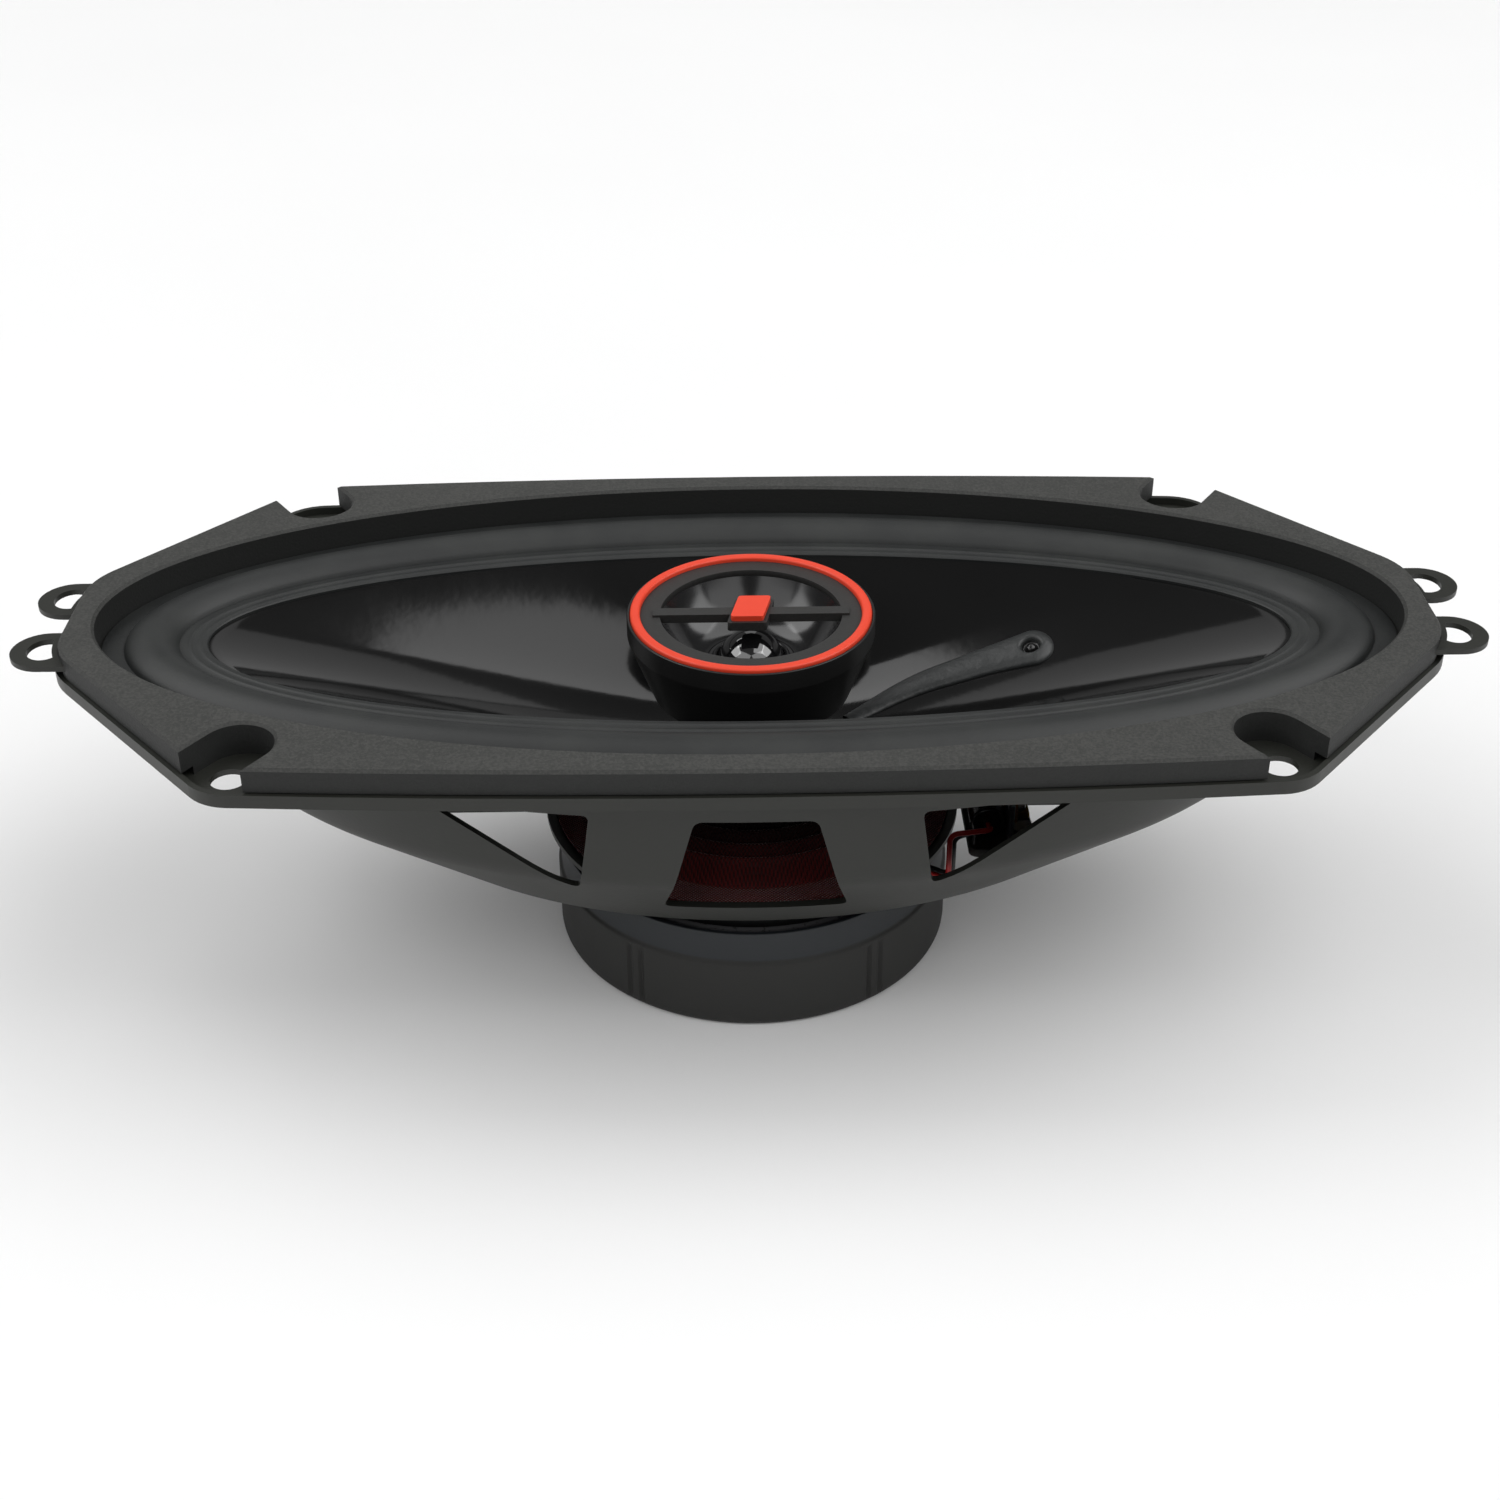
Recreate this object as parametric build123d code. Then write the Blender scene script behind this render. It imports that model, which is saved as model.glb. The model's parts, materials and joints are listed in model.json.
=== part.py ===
from build123d import *
from math import cos, pi, radians, sin
import os

# Coaxial car speaker, 4 x 10 inch oval format. Millimetres, +Z towards the listener.
# The origin is on the speaker's axis, at the underside of the mounting flange.

# Stamped steel basket
SHEET = 1.0                       # thickness of the pressed sheet
FLANGE_SIDE = (87.6, 51.5)        # corner where a long side meets a diagonal
FLANGE_END = (121.9, 11.6)        # corner where a diagonal meets an end
FLANGE_BULGE = 54.3               # half width at the middle of a long side
FLANGE_ROUND = (9.0, 16.0)        # corner radii beside the long sides and at the ends
LIP_HEIGHT = 2.4                  # upturned rim round the flange
HULL_Z = (0.0, -19.5, -34.0)
HULL_OUTER = ((113.5, 49.5), (91.0, 48.0), (63.5, 38.2))
HULL_WALL = (2.0, 1.2)            # wall measured along X and along Y
BOWL_ROOT = -4.0                  # the flange carries the bowl's wall down to here
SEAT_OPENING = (110.5, 43.8)      # opening left inside the surround's seat
CORNER_HOLE = (84.5, 45.0)
CORNER_HOLE_R = 3.0
EAR_CENTRE = (122.7, 9.2)
EAR_RADIUS = 5.9
EAR_HOLE = (6.2, 7.2)
EAR_TOP = 4.9
EAR_RISER_END = 12.4              # the risers stop short of the diagonal sides
MOTOR_HOLE_R = 15.0
MOTOR_SEAT_R = 38.3               # steel left round the motor
STRUT_HALF = 3.8                  # half width of the arm between two floor windows
FLOOR_WINDOW = (58.0, 33.0)
SLOPE_WINDOW = ((68.0, 9.0), (84.0, 9.0), (82.0, 22.0), (68.0, 27.0))
CENTRE_WINDOW = ((-10.0, -5.9), (10.0, -5.9), (15.6, -28.1), (-15.6, -28.1))
SIDE_WINDOW = ((27.0, -5.3), (54.5, -5.3), (29.5, -23.2))
WINDOW_ROUND = 1.2
FLOOR_WINDOW_ANGLE = 40.0         # the floor windows open this far each side of the X axis

# Moulded gasket
GASKET_TOP = 7.0
GASKET_SIDE = (87.0, 50.9)
GASKET_END = (120.2, 12.6)
GASKET_BULGE = 53.6
GASKET_ROUND = (7.0, 14.0)
GASKET_OVERHANG = 2.4             # the foot stands this far inside the top, clear of the rim
GASKET_FOOT_TOP = 2.6
GASKET_OPENING = (115.6, 48.4)
GASKET_EDGE = 0.5
SLOT_CENTRE = (82.9, 43.4)
SLOT_RADIUS = 6.1
SLOT_ANGLE = 56.0
SLOT_REACH = 14.0

# Surround, cone and coil, which travel together
SURROUND_OUTER = (115.2, 48.0)
ROLL_OUTER = (111.2, 44.2)
ROLL_INNER = (101.5, 34.8)
ROLL_HEIGHT = 2.6
ROLL_STEPS = 6                    # straight facets in each quarter of the roll
RUBBER = 0.6
CONE_RIM = (100.8, 34.2)
CONE_EDGE = (96.5, 30.1)
CONE_TOP = 1.0
CONE_THICK = 0.9
THROAT_Z = -19.0
THROAT_R = 12.8
FORMER_R = (12.6, 12.75)
FORMER_Z = (-41.0, -18.6)
WINDING_R = 13.5
WINDING_Z = (-40.5, -32.5)
HALVINGS = 40                     # steps of the search for a place on the cone
LEAD_ROUTE = ((51.8, 9.5, 2.9), (45.0, 9.0, 2.2), (29.0, 6.7, 1.5), (18.5, 0.6, 0.8))
EYELET_R = (0.6, 1.1, 1.7)        # bore, barrel and flange
SPIDER_LAND = (31.0, 36.5)
SPIDER_RISE = 4.3
SPIDER_THICK = 0.7
SPIDER_WAVES = 4
SPIDER_WAVE_HEIGHT = 0.9
SPIDER_SHOULDER = 1.0             # from the glued land to the first wave
COIL_GLUE = 0.35                  # glue line between the coil former and the spider

# Motor
PLATE_R = 33.3
MAGNET_R = 33.3
MAGNET_BORE = 16.0
TOP_PLATE_BORE = 14.2
POLE_R = 12.0
POST_BORE = 3.2
TOP_PLATE_BOTTOM = -39.0
MAGNET_BOTTOM = -52.4
YOKE_BOTTOM = -57.3
YOKE_RECESS = (9.0, 3.2)
YOKE_CHAMFER = 1.0
MAGNET_CHAMFER = 0.8
RIVET_COUNT = 4
RIVET_CIRCLE = 24.0
RIVET_R = 1.6
RIVET_HEAD = (2.8, 0.8)

# Rubber boot over the magnet
BOOT_R = 36.6
BOOT_INNER = 35.0
BOOT_BOTTOM = -58.6
BOOT_SHOULDER = -43.5
BOOT_TOP = -38.8
BOOT_TOP_R = 35.7
BOOT_FLOOR_OPENING = 29.0
BOOT_EDGE = 1.6
BOOT_PANELS = 5
BOOT_PANEL_ANGLE = 34.0           # half of the arc that one panel covers
BOOT_GROOVE = (0.7, 0.5)          # width and depth of the line between two panels

# Tweeter
HOUSING_R = 22.1
HOUSING_TOP = 5.7
HOUSING_FLOOR = -9.5
HOUSING_BASE_R = 17.8
HOUSING_WAIST = 2.0               # height where the taper meets the straight rim
HOUSING_WALL = 1.2
BOSS_R = 10.6
BOSS_BORE = 7.6
BOSS_BOTTOM = -34.0              # the boss stands on the pole
RING_R = (19.7, 21.5)
RING_TOP = 6.3
RING_BOTTOM = 3.5
RING_FOOT = 0.8
RING_ROUND = 0.5
FACE_OPENING = 16.2
FACE_TOP = 5.5
FACE_BOTTOM = 4.3
BAR_WIDTH = 2.6
BAR_TOP = 5.9
BADGE_SIZE = (5.8, 7.6)
BADGE_SLANT = 1.6
BADGE_TOP = 6.9
BADGE_MARGIN = 0.6
BADGE_ROUND = 0.6
CUP_R = (6.9, 8.4)
CUP_Z = (-8.3, -7.4, -4.0)
TWEETER_MAGNET_R = 5.0
TWEETER_MAGNET_TOP = -5.4
TWEETER_POLE_R = 5.2
TWEETER_POLE_TOP = -4.7
TWEETER_COIL_R = (5.6, 5.95)
TWEETER_COIL_Z = (-6.6, -3.9)
DOME_R = 6.0
DOME_HEIGHT = 3.8
DOME_THICK = 0.35
EDGE_R = (6.1, 7.1, 7.8)          # dome, clamped land and rim
EDGE_CREST = 0.6
EDGE_THICK = 0.25
EDGE_SEAT = 0.1                   # the horn stands this far above the cup
HORN_THROAT = (7.9, -3.6)
HORN_WALL = 0.9
HORN_STEPS = 6
POST_R = 3.0
POST_HOLLOW = 1.7
POST_TIP_R = 2.5
POST_TIP = 0.6                    # the thread stands this far out of the nut
POST_FLANGE = (5.5, 1.2)
NUT_FLATS = 9.0
NUT_HEIGHT = 2.4
THREAD_GAP = 0.02

# Terminal board and wiring
BOARD_X = (38.5, 50.5)
BOARD_Y = (-21.5, 1.0)
BOARD_THICK = 1.6
BOARD_ROUND = 1.5
BOARD_RIVET = (42.0, -2.66)
TAB_THICK = 0.8
TAB_X = 46.0
TAB_FOOT = 4.4
TABS = {"terminal_positive": (-16.6, 6.3), "terminal_negative": (-9.2, 4.8)}
TAB_HEIGHT = 9.0
TAB_HOLE = (0.8, 3.0)             # radius and distance below the tip
TAB_CHAMFER = 1.0
TAB_RIVET_R = 1.0
TAB_RIVET_HEAD_R = 1.8
CAPACITOR_R = 3.2
CAPACITOR_LENGTH = 10.0
CAPACITOR_X = 42.0
CAPACITOR_Y = -13.2
CAPACITOR_ROUND = 0.6
WIRE_R = 0.5
WIRE_GAP = 0.05
WIRE_SPACING = 0.8
WIRE_AZIMUTH = -33.0
WIRE_RISE_R = 41.8                # where the leads come up through the floor window
WIRE_BENDS = [1.6, 1.5, 1.6, 1.8]
BOOT_WIRE_SLOT = (32.0, 6.4, 3.6, 4.0)      # radius, length, width and height
TINSEL_R = 0.45
TINSEL_BENDS = [2.5, 2.5, 1.5]
TINSEL_DROP = {"tinsel_lead_positive": (-1, 13.0), "tinsel_lead_negative": (1, 10.0)}

FLOOR_TOP = HULL_Z[2] + SHEET
FLAT_Z = SHEET                    # top of the flange sheet


def slab(sketch, low, high):
    """A flat outline given thickness between two heights."""
    return extrude(Pos(0, 0, low) * sketch, high - low)


def tube(outer, inner, low, high):
    """A plain ring about the speaker's axis."""
    return slab(Circle(outer) - Circle(inner), low, high)


def disc(radius, low, high):
    """A plain cylinder about the speaker's axis."""
    return slab(Circle(radius), low, high)


def turned(points):
    """A solid of revolution from (radius, height) corners."""
    profile = Plane.XZ * make_face(Polyline(*points, close=True))
    return revolve(profile, Axis.Z)


def mirrored(shape):
    """The shape with its copies in the other three quadrants."""
    pair = [shape, mirror(shape, Plane.YZ)]
    return pair + [mirror(item, Plane.XZ) for item in pair]


def octagon(side, end, bulge, rounds):
    """The eight-sided outline with bowed long sides and rounded corners."""
    (side_x, side_y), (end_x, end_y) = side, end
    edges = [
        ThreePointArc((-side_x, side_y), (0, bulge), (side_x, side_y)),
        Line((side_x, side_y), (end_x, end_y)),
        Line((end_x, end_y), (end_x, -end_y)),
        Line((end_x, -end_y), (side_x, -side_y)),
        ThreePointArc((side_x, -side_y), (0, -bulge), (-side_x, -side_y)),
        Line((-side_x, -side_y), (-end_x, -end_y)),
        Line((-end_x, -end_y), (-end_x, end_y)),
        Line((-end_x, end_y), (-side_x, side_y)),
    ]
    outline = fillet(make_face(edges).vertices().filter_by(lambda v: abs(v.Y) > end_y + 1), rounds[0])
    corners = outline.vertices().filter_by(lambda v: abs(v.X) > end_x - 1)
    return fillet(corners, rounds[1])


def stack(rings):
    """A ruled solid through (half length, half width, height) ovals."""
    return loft([Pos(0, 0, z) * Ellipse(a, b) for a, b, z in rings], ruled=True)


def window(corners, radius):
    """A cutter through both long walls, drawn in X and Z."""
    outline = fillet(make_face(Polyline(*corners, close=True)).vertices(), radius)
    return extrude(Plane.XZ * outline, 2 * FLANGE_BULGE, both=True)


def hull():
    """The boat-shaped body under the flange, open at the top."""
    outer = [(a, b, z) for (a, b), z in zip(HULL_OUTER, HULL_Z)]
    inner = [(a - HULL_WALL[0], b - HULL_WALL[1], z) for a, b, z in outer]
    inner[-1] = (inner[-1][0], inner[-1][1], FLOOR_TOP)
    return stack(outer) - stack(inner)


def floor_windows():
    """Openings in the floor beside the motor."""
    across = 2 * MOTOR_SEAT_R
    beside = Ellipse(*FLOOR_WINDOW) - Circle(MOTOR_SEAT_R)
    beside -= Rectangle(2 * across, 2 * STRUT_HALF)
    beside -= Rectangle(across * cos(radians(FLOOR_WINDOW_ANGLE)), across)
    return slab(beside, HULL_Z[2] - SHEET, FLOOR_TOP + SHEET)


def slope_windows():
    """Openings in the sloping ends, two at each end."""
    outline = fillet(make_face(Polyline(*SLOPE_WINDOW, close=True)).vertices(), 2 * WINDOW_ROUND)
    return mirrored(slab(outline, HULL_Z[2], HULL_Z[1]))


def basket_bowl():
    """The hull with every window and hole in it."""
    bowl = hull()
    bowl -= window(CENTRE_WINDOW, WINDOW_ROUND)
    for side in (1, -1):
        bowl -= window([(side * x, z) for x, z in SIDE_WINDOW], WINDOW_ROUND)
    bowl -= slope_windows()
    bowl -= floor_windows()
    bowl -= disc(MOTOR_HOLE_R, HULL_Z[2] - SHEET, FLOOR_TOP + SHEET)
    return bowl - rivet_bodies()


def bowl_between(low, high):
    """The bowl's part between two heights."""
    reach = Rectangle(4 * EAR_CENTRE[0], 4 * FLANGE_BULGE)
    return basket_bowl() & slab(reach, low, high)


def ears(rim):
    """Raised screw ears, each joined to the rim by a taller stretch of it."""
    x, y = EAR_CENTRE
    root = Pos(x - EAR_RADIUS, y) * Rectangle(2 * EAR_RADIUS, 2 * EAR_RADIUS)
    inside = offset(octagon(FLANGE_SIDE, FLANGE_END, FLANGE_BULGE, FLANGE_ROUND), -SHEET)
    plate = (Pos(x, y) * Circle(EAR_RADIUS) + root) - inside
    plate -= Pos(x, y) * Ellipse(EAR_HOLE[0] / 2, EAR_HOLE[1] / 2)
    riser = rim & root & Rectangle(4 * x, 2 * EAR_RISER_END)
    ear = slab(plate, EAR_TOP - SHEET, EAR_TOP) + slab(riser, 0, EAR_TOP)
    return mirrored(ear)


def basket_flange():
    """Flat flange with its upturned lip, corner holes and ears, and the root of the bowl under it."""
    outline = octagon(FLANGE_SIDE, FLANGE_END, FLANGE_BULGE, FLANGE_ROUND)
    rim = outline - offset(outline, -SHEET)
    flange = slab(outline - Ellipse(*SEAT_OPENING), 0, SHEET)
    flange += slab(rim, 0, LIP_HEIGHT)
    flange += ears(rim)
    flange += bowl_between(BOWL_ROOT, 0)
    holes = mirrored(Pos(*CORNER_HOLE) * Circle(CORNER_HOLE_R))
    return flange - [slab(hole, -SHEET, 2 * SHEET) for hole in holes]


def basket_levels():
    """The bowl divided at its fold and at its floor, so that each part has a simple shape."""
    return {
        "basket_upper_wall": bowl_between(HULL_Z[1], BOWL_ROOT),
        "basket_lower_wall": bowl_between(FLOOR_TOP, HULL_Z[1]),
        "basket_floor": bowl_between(HULL_Z[2], FLOOR_TOP),
    }


def mounting_gasket():
    outline = octagon(GASKET_SIDE, GASKET_END, GASKET_BULGE, GASKET_ROUND)
    foot = offset(outline, -GASKET_OVERHANG) - Ellipse(*GASKET_OPENING)
    ring = outline - Ellipse(*GASKET_OPENING)
    reach = Pos(SLOT_REACH / 2, 0) * Rectangle(SLOT_REACH, 2 * SLOT_RADIUS)
    slot = Pos(*SLOT_CENTRE) * Rot(0, 0, SLOT_ANGLE) * (Circle(SLOT_RADIUS) + reach)
    for cut in mirrored(slot):
        ring -= cut
        foot -= cut
    body = slab(ring, GASKET_FOOT_TOP, GASKET_TOP)
    body = chamfer(body.edges().group_by(Axis.Z)[-1], GASKET_EDGE)
    return body + slab(foot, FLAT_Z, GASKET_FOOT_TOP)


def half_roll(outer, inner, base, height):
    """A solid ring of half-round section between two ovals."""
    rings = []
    for step in range(ROLL_STEPS + 1):
        angle = radians(90 * step / ROLL_STEPS)
        part = (1 - cos(angle)) / 2
        rings.append((part, base + height * sin(angle)))
    span = (outer[0] - inner[0], outer[1] - inner[1])
    outside = stack([(outer[0] - p * span[0], outer[1] - p * span[1], z) for p, z in rings])
    hollow = stack([(inner[0] + p * span[0], inner[1] + p * span[1], z) for p, z in rings])
    return outside - hollow


def surround():
    top = FLAT_Z + RUBBER
    land = slab(Ellipse(*SURROUND_OUTER) - Ellipse(*ROLL_INNER), FLAT_Z, top)
    land += slab(Ellipse(*ROLL_OUTER) - Ellipse(*CONE_EDGE), FLAT_Z, top)
    roll = half_roll(ROLL_OUTER, ROLL_INNER, FLAT_Z, ROLL_HEIGHT + RUBBER)
    under_outer = (ROLL_OUTER[0] - RUBBER, ROLL_OUTER[1] - RUBBER)
    under_inner = (ROLL_INNER[0] + RUBBER, ROLL_INNER[1] + RUBBER)
    under = half_roll(under_outer, under_inner, FLAT_Z, ROLL_HEIGHT)
    return land + roll - under


def cone_air():
    """The space in front of the cone's face."""
    return stack([(*CONE_EDGE, CONE_TOP), (THROAT_R, THROAT_R, THROAT_Z)])


def cone():
    back_edge = (CONE_EDGE[0] + CONE_THICK, CONE_EDGE[1] + CONE_THICK, CONE_TOP - CONE_THICK)
    neck = THROAT_R + CONE_THICK
    body = stack([back_edge, (neck, neck, THROAT_Z - CONE_THICK)])
    body += slab(Ellipse(*CONE_RIM), CONE_TOP - CONE_THICK, CONE_TOP)
    body -= cone_air()
    body -= disc(THROAT_R, THROAT_Z - 2 * CONE_THICK, THROAT_Z + CONE_THICK)
    return body - Pos(*eyelet_place()) * Cylinder(EYELET_R[1], 6 * CONE_THICK)


def cone_height(x, y):
    """Height of the cone's face at a place, from its straight sides."""
    low, high = 0.0, 1.0
    for _ in range(HALVINGS):
        part = (low + high) / 2
        a = THROAT_R + part * (CONE_EDGE[0] - THROAT_R)
        b = THROAT_R + part * (CONE_EDGE[1] - THROAT_R)
        low, high = (part, high) if (x / a) ** 2 + (y / b) ** 2 > 1 else (low, part)
    return THROAT_Z + low * (CONE_TOP - THROAT_Z)


def eyelet_place():
    x, y, _ = LEAD_ROUTE[0]
    return x, y, cone_height(x, y)


def cone_lead_bead():
    """Adhesive run over the coil's lead wires, thick at the eyelet and thin at the throat."""
    places = [(Vector(x, y, cone_height(x, y)), r) for x, y, r in LEAD_ROUTE]
    bead = None
    for (start, big), (end, small) in zip(places, places[1:]):
        direction = end - start
        plane = Plane(origin=start, z_dir=direction)
        taper = Solid.make_cone(big, small, direction.length, plane)
        joined = taper + Pos(*start) * Sphere(big) + Pos(*end) * Sphere(small)
        bead = joined if bead is None else bead + joined
    bead = bead & cone_air()
    return bead - Pos(*eyelet_place()) * Cylinder(EYELET_R[1], 20 * CONE_THICK)


def cone_eyelet():
    bore, barrel, flange = EYELET_R
    x, y, z = eyelet_place()
    bead_top = LEAD_ROUTE[0][2]
    body = tube(barrel, bore, -3 * CONE_THICK, bead_top)
    body += tube(flange, bore, bead_top, bead_top + bore)
    return Pos(x, y, z) * body


def spider():
    """Corrugated cloth disc with a raised middle, glued down round its rim."""
    land_in, land_out = SPIDER_LAND
    high = FLOOR_TOP + SPIDER_RISE
    roll_out = land_in - SPIDER_SHOULDER
    roll_in = FORMER_R[1] + COIL_GLUE
    pitch = (roll_out - roll_in) / (2 * SPIDER_WAVES)
    top = [(land_out, FLOOR_TOP + SPIDER_THICK), (land_in, FLOOR_TOP + SPIDER_THICK)]
    for step in range(2 * SPIDER_WAVES):
        lift = SPIDER_WAVE_HEIGHT if step % 2 == 0 else -SPIDER_WAVE_HEIGHT
        top.append((roll_out - (step + 0.5) * pitch, high + lift))
    top.append((roll_in, high))
    bottom = [(r, z - SPIDER_THICK) for r, z in reversed(top)]
    return turned(top + bottom)


def rivet_places():
    turns = [2 * pi * (step + 0.5) / RIVET_COUNT for step in range(RIVET_COUNT)]
    return [(RIVET_CIRCLE * cos(turn), RIVET_CIRCLE * sin(turn)) for turn in turns]


def rivet_bodies():
    low = TOP_PLATE_BOTTOM + SHEET
    return [Pos(x, y) * slab(Circle(RIVET_R), low, FLOOR_TOP) for x, y in rivet_places()]


def frame_rivets():
    head_r, head_z = RIVET_HEAD
    heads = [Pos(x, y) * slab(Circle(head_r), FLOOR_TOP, FLOOR_TOP + head_z) for x, y in rivet_places()]
    return Compound([shank + head for shank, head in zip(rivet_bodies(), heads)])


def top_plate():
    return tube(PLATE_R, TOP_PLATE_BORE, TOP_PLATE_BOTTOM, HULL_Z[2]) - rivet_bodies()


def ferrite_magnet():
    ring = tube(MAGNET_R, MAGNET_BORE, MAGNET_BOTTOM, TOP_PLATE_BOTTOM)
    rims = [edge for edge in ring.edges().filter_by(GeomType.CIRCLE) if edge.radius > MAGNET_BORE]
    return chamfer(rims, MAGNET_CHAMFER)


def back_plate_pole():
    plate = tube(PLATE_R, POST_BORE, YOKE_BOTTOM, MAGNET_BOTTOM)
    rims = [edge for edge in plate.edges().group_by(Axis.Z)[0] if edge.radius > POST_BORE]
    plate = chamfer(rims, YOKE_CHAMFER)
    recess_r, recess_z = YOKE_RECESS
    plate -= disc(recess_r, YOKE_BOTTOM, YOKE_BOTTOM + recess_z)
    return plate + tube(POLE_R, POST_BORE, MAGNET_BOTTOM, HULL_Z[2])


def magnet_boot():
    """Moulded cap whose side is divided into plain panels by shallow grooves."""
    body = turned([
        (BOOT_FLOOR_OPENING, BOOT_BOTTOM),
        (BOOT_R, BOOT_BOTTOM),
        (BOOT_R, BOOT_SHOULDER),
        (BOOT_TOP_R, BOOT_TOP),
        (BOOT_INNER, BOOT_TOP),
        (BOOT_INNER, YOKE_BOTTOM),
        (BOOT_FLOOR_OPENING, YOKE_BOTTOM),
    ])
    rim = [edge for edge in body.edges().group_by(Axis.Z)[0] if edge.radius > BOOT_INNER]
    body = fillet(rim, BOOT_EDGE)
    width, depth = BOOT_GROOVE
    height = BOOT_SHOULDER - BOOT_BOTTOM - 2 * BOOT_EDGE
    middle = (BOOT_SHOULDER + BOOT_BOTTOM) / 2
    for step in range(BOOT_PANELS):
        for side in (-1, 1):
            angle = -90 + 360 * step / BOOT_PANELS + side * BOOT_PANEL_ANGLE
            groove = Pos(BOOT_R, 0, middle) * Box(2 * depth, width, height)
            body -= Rot(0, 0, angle) * groove
    radius, *size = BOOT_WIRE_SLOT
    slot = Pos(radius, 0, BOOT_BOTTOM) * Box(*size)
    return body - Rot(0, 0, WIRE_AZIMUTH) * slot


def tweeter_housing():
    """Tapered bowl on a hollow boss that clears the moving cone."""
    wall = HOUSING_WALL
    return turned([
        (POST_TIP_R, BOSS_BOTTOM),
        (BOSS_R, BOSS_BOTTOM),
        (BOSS_R, HOUSING_FLOOR),
        (HOUSING_BASE_R, HOUSING_FLOOR),
        (HOUSING_R, HOUSING_WAIST),
        (HOUSING_R, HOUSING_TOP),
        (HOUSING_R - wall / 2, HOUSING_TOP),
        (HOUSING_R - wall / 2, RING_BOTTOM),
        (HOUSING_R - wall, HOUSING_WAIST),
        (HOUSING_BASE_R - wall, HOUSING_FLOOR + wall),
        (BOSS_BORE, HOUSING_FLOOR + wall),
        (BOSS_BORE, BOSS_BOTTOM + wall),
        (POST_TIP_R, BOSS_BOTTOM + wall),
    ])


def accent_ring():
    foot_top = RING_BOTTOM + RING_FOOT
    body = tube(RING_R[1], RING_R[0], foot_top, RING_TOP)
    body = fillet(body.edges().group_by(Axis.Z)[-1], RING_ROUND)
    return body + tube(HOUSING_R - HOUSING_WALL / 2, RING_R[0], RING_BOTTOM, foot_top)


def badge_outline(margin):
    """A leaning four-sided plate, its far edge shifted along +X."""
    half_x = BADGE_SIZE[0] / 2 + margin
    half_y = BADGE_SIZE[1] / 2 + margin
    lean = BADGE_SLANT / 2
    near = [(-half_x - lean, -half_y), (half_x - lean, -half_y)]
    far = [(half_x + lean, half_y), (-half_x + lean, half_y)]
    return fillet(make_face(Polyline(*near, *far, close=True)).vertices(), BADGE_ROUND)


def tweeter_faceplate():
    """Flat ring with a straight bar across it and a pad for the badge."""
    body = tube(RING_R[0], FACE_OPENING, FACE_BOTTOM, FACE_TOP)
    bar = Rectangle(FACE_OPENING + RING_R[0] - SHEET, BAR_WIDTH) + badge_outline(BADGE_MARGIN)
    return body + slab(bar, FACE_BOTTOM, BAR_TOP)


def badge():
    return slab(badge_outline(0), BAR_TOP, BADGE_TOP)


def tweeter_waveguide():
    """Short horn from the dome's edge to the opening in the faceplate."""
    throat_r, throat_z = HORN_THROAT
    wide, tall = FACE_OPENING - throat_r, FACE_BOTTOM - throat_z
    parts = [step / HORN_STEPS for step in range(HORN_STEPS + 1)]
    points = [(throat_r + wide * part, throat_z + tall * part ** 2) for part in parts]
    rim_r = RING_R[0] - SHEET
    rim = [(rim_r, FACE_BOTTOM), (rim_r, FACE_BOTTOM - HORN_WALL)]
    back = [(r + HORN_WALL, z - HORN_WALL) for r, z in reversed(points[1:])]
    seat = CUP_Z[2] + EDGE_SEAT
    return turned(points + rim + back + [(throat_r + HORN_WALL, seat), (throat_r, seat)])


def tweeter_cup():
    return disc(CUP_R[1], CUP_Z[0], CUP_Z[2]) - disc(CUP_R[0], CUP_Z[1], CUP_Z[2])


def tweeter_magnet():
    return disc(TWEETER_MAGNET_R, CUP_Z[1], TWEETER_MAGNET_TOP)


def tweeter_pole_piece():
    return disc(TWEETER_POLE_R, TWEETER_MAGNET_TOP, TWEETER_POLE_TOP)


def tweeter_voice_coil():
    return tube(TWEETER_COIL_R[1], TWEETER_COIL_R[0], *TWEETER_COIL_Z)


def dome_cap(radius, height):
    ball = (radius ** 2 + height ** 2) / (2 * height)
    return Pos(0, 0, height - ball) * Sphere(ball) & slab(Circle(2 * radius), 0, height)


def tweeter_dome():
    shell = dome_cap(DOME_R, DOME_HEIGHT) - dome_cap(DOME_R - DOME_THICK, DOME_HEIGHT - DOME_THICK)
    return Pos(0, 0, TWEETER_COIL_Z[1]) * shell


def tweeter_dome_edge():
    """Thin half roll between the dome and its clamped rim."""
    inner, land, rim = EDGE_R
    base = CUP_Z[2] + EDGE_SEAT
    crest = (inner + land) / 2
    return turned([
        (inner, base),
        (crest, base + EDGE_CREST),
        (land, base),
        (land, CUP_Z[2]),
        (rim, CUP_Z[2]),
        (rim, base + EDGE_THICK),
        (land, base + EDGE_THICK),
        (crest, base + EDGE_CREST + EDGE_THICK),
        (inner, base + EDGE_THICK),
    ])


def tweeter_post():
    """Hollow bolt from the back plate to the tweeter."""
    low = YOKE_BOTTOM + YOKE_RECESS[1]
    flange_r, flange_z = POST_FLANGE
    shank = tube(POST_R, POST_HOLLOW, low, BOSS_BOTTOM)
    head = tube(flange_r, POST_HOLLOW, low - flange_z, low)
    tip_top = BOSS_BOTTOM + HOUSING_WALL + NUT_HEIGHT + POST_TIP
    return shank + head + tube(POST_TIP_R, POST_HOLLOW, BOSS_BOTTOM, tip_top)


def tweeter_post_nut():
    low = BOSS_BOTTOM + HOUSING_WALL
    flats = RegularPolygon(NUT_FLATS / 2, 6, major_radius=False)
    return slab(flats - Circle(POST_TIP_R + THREAD_GAP), low, low + NUT_HEIGHT)


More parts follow.
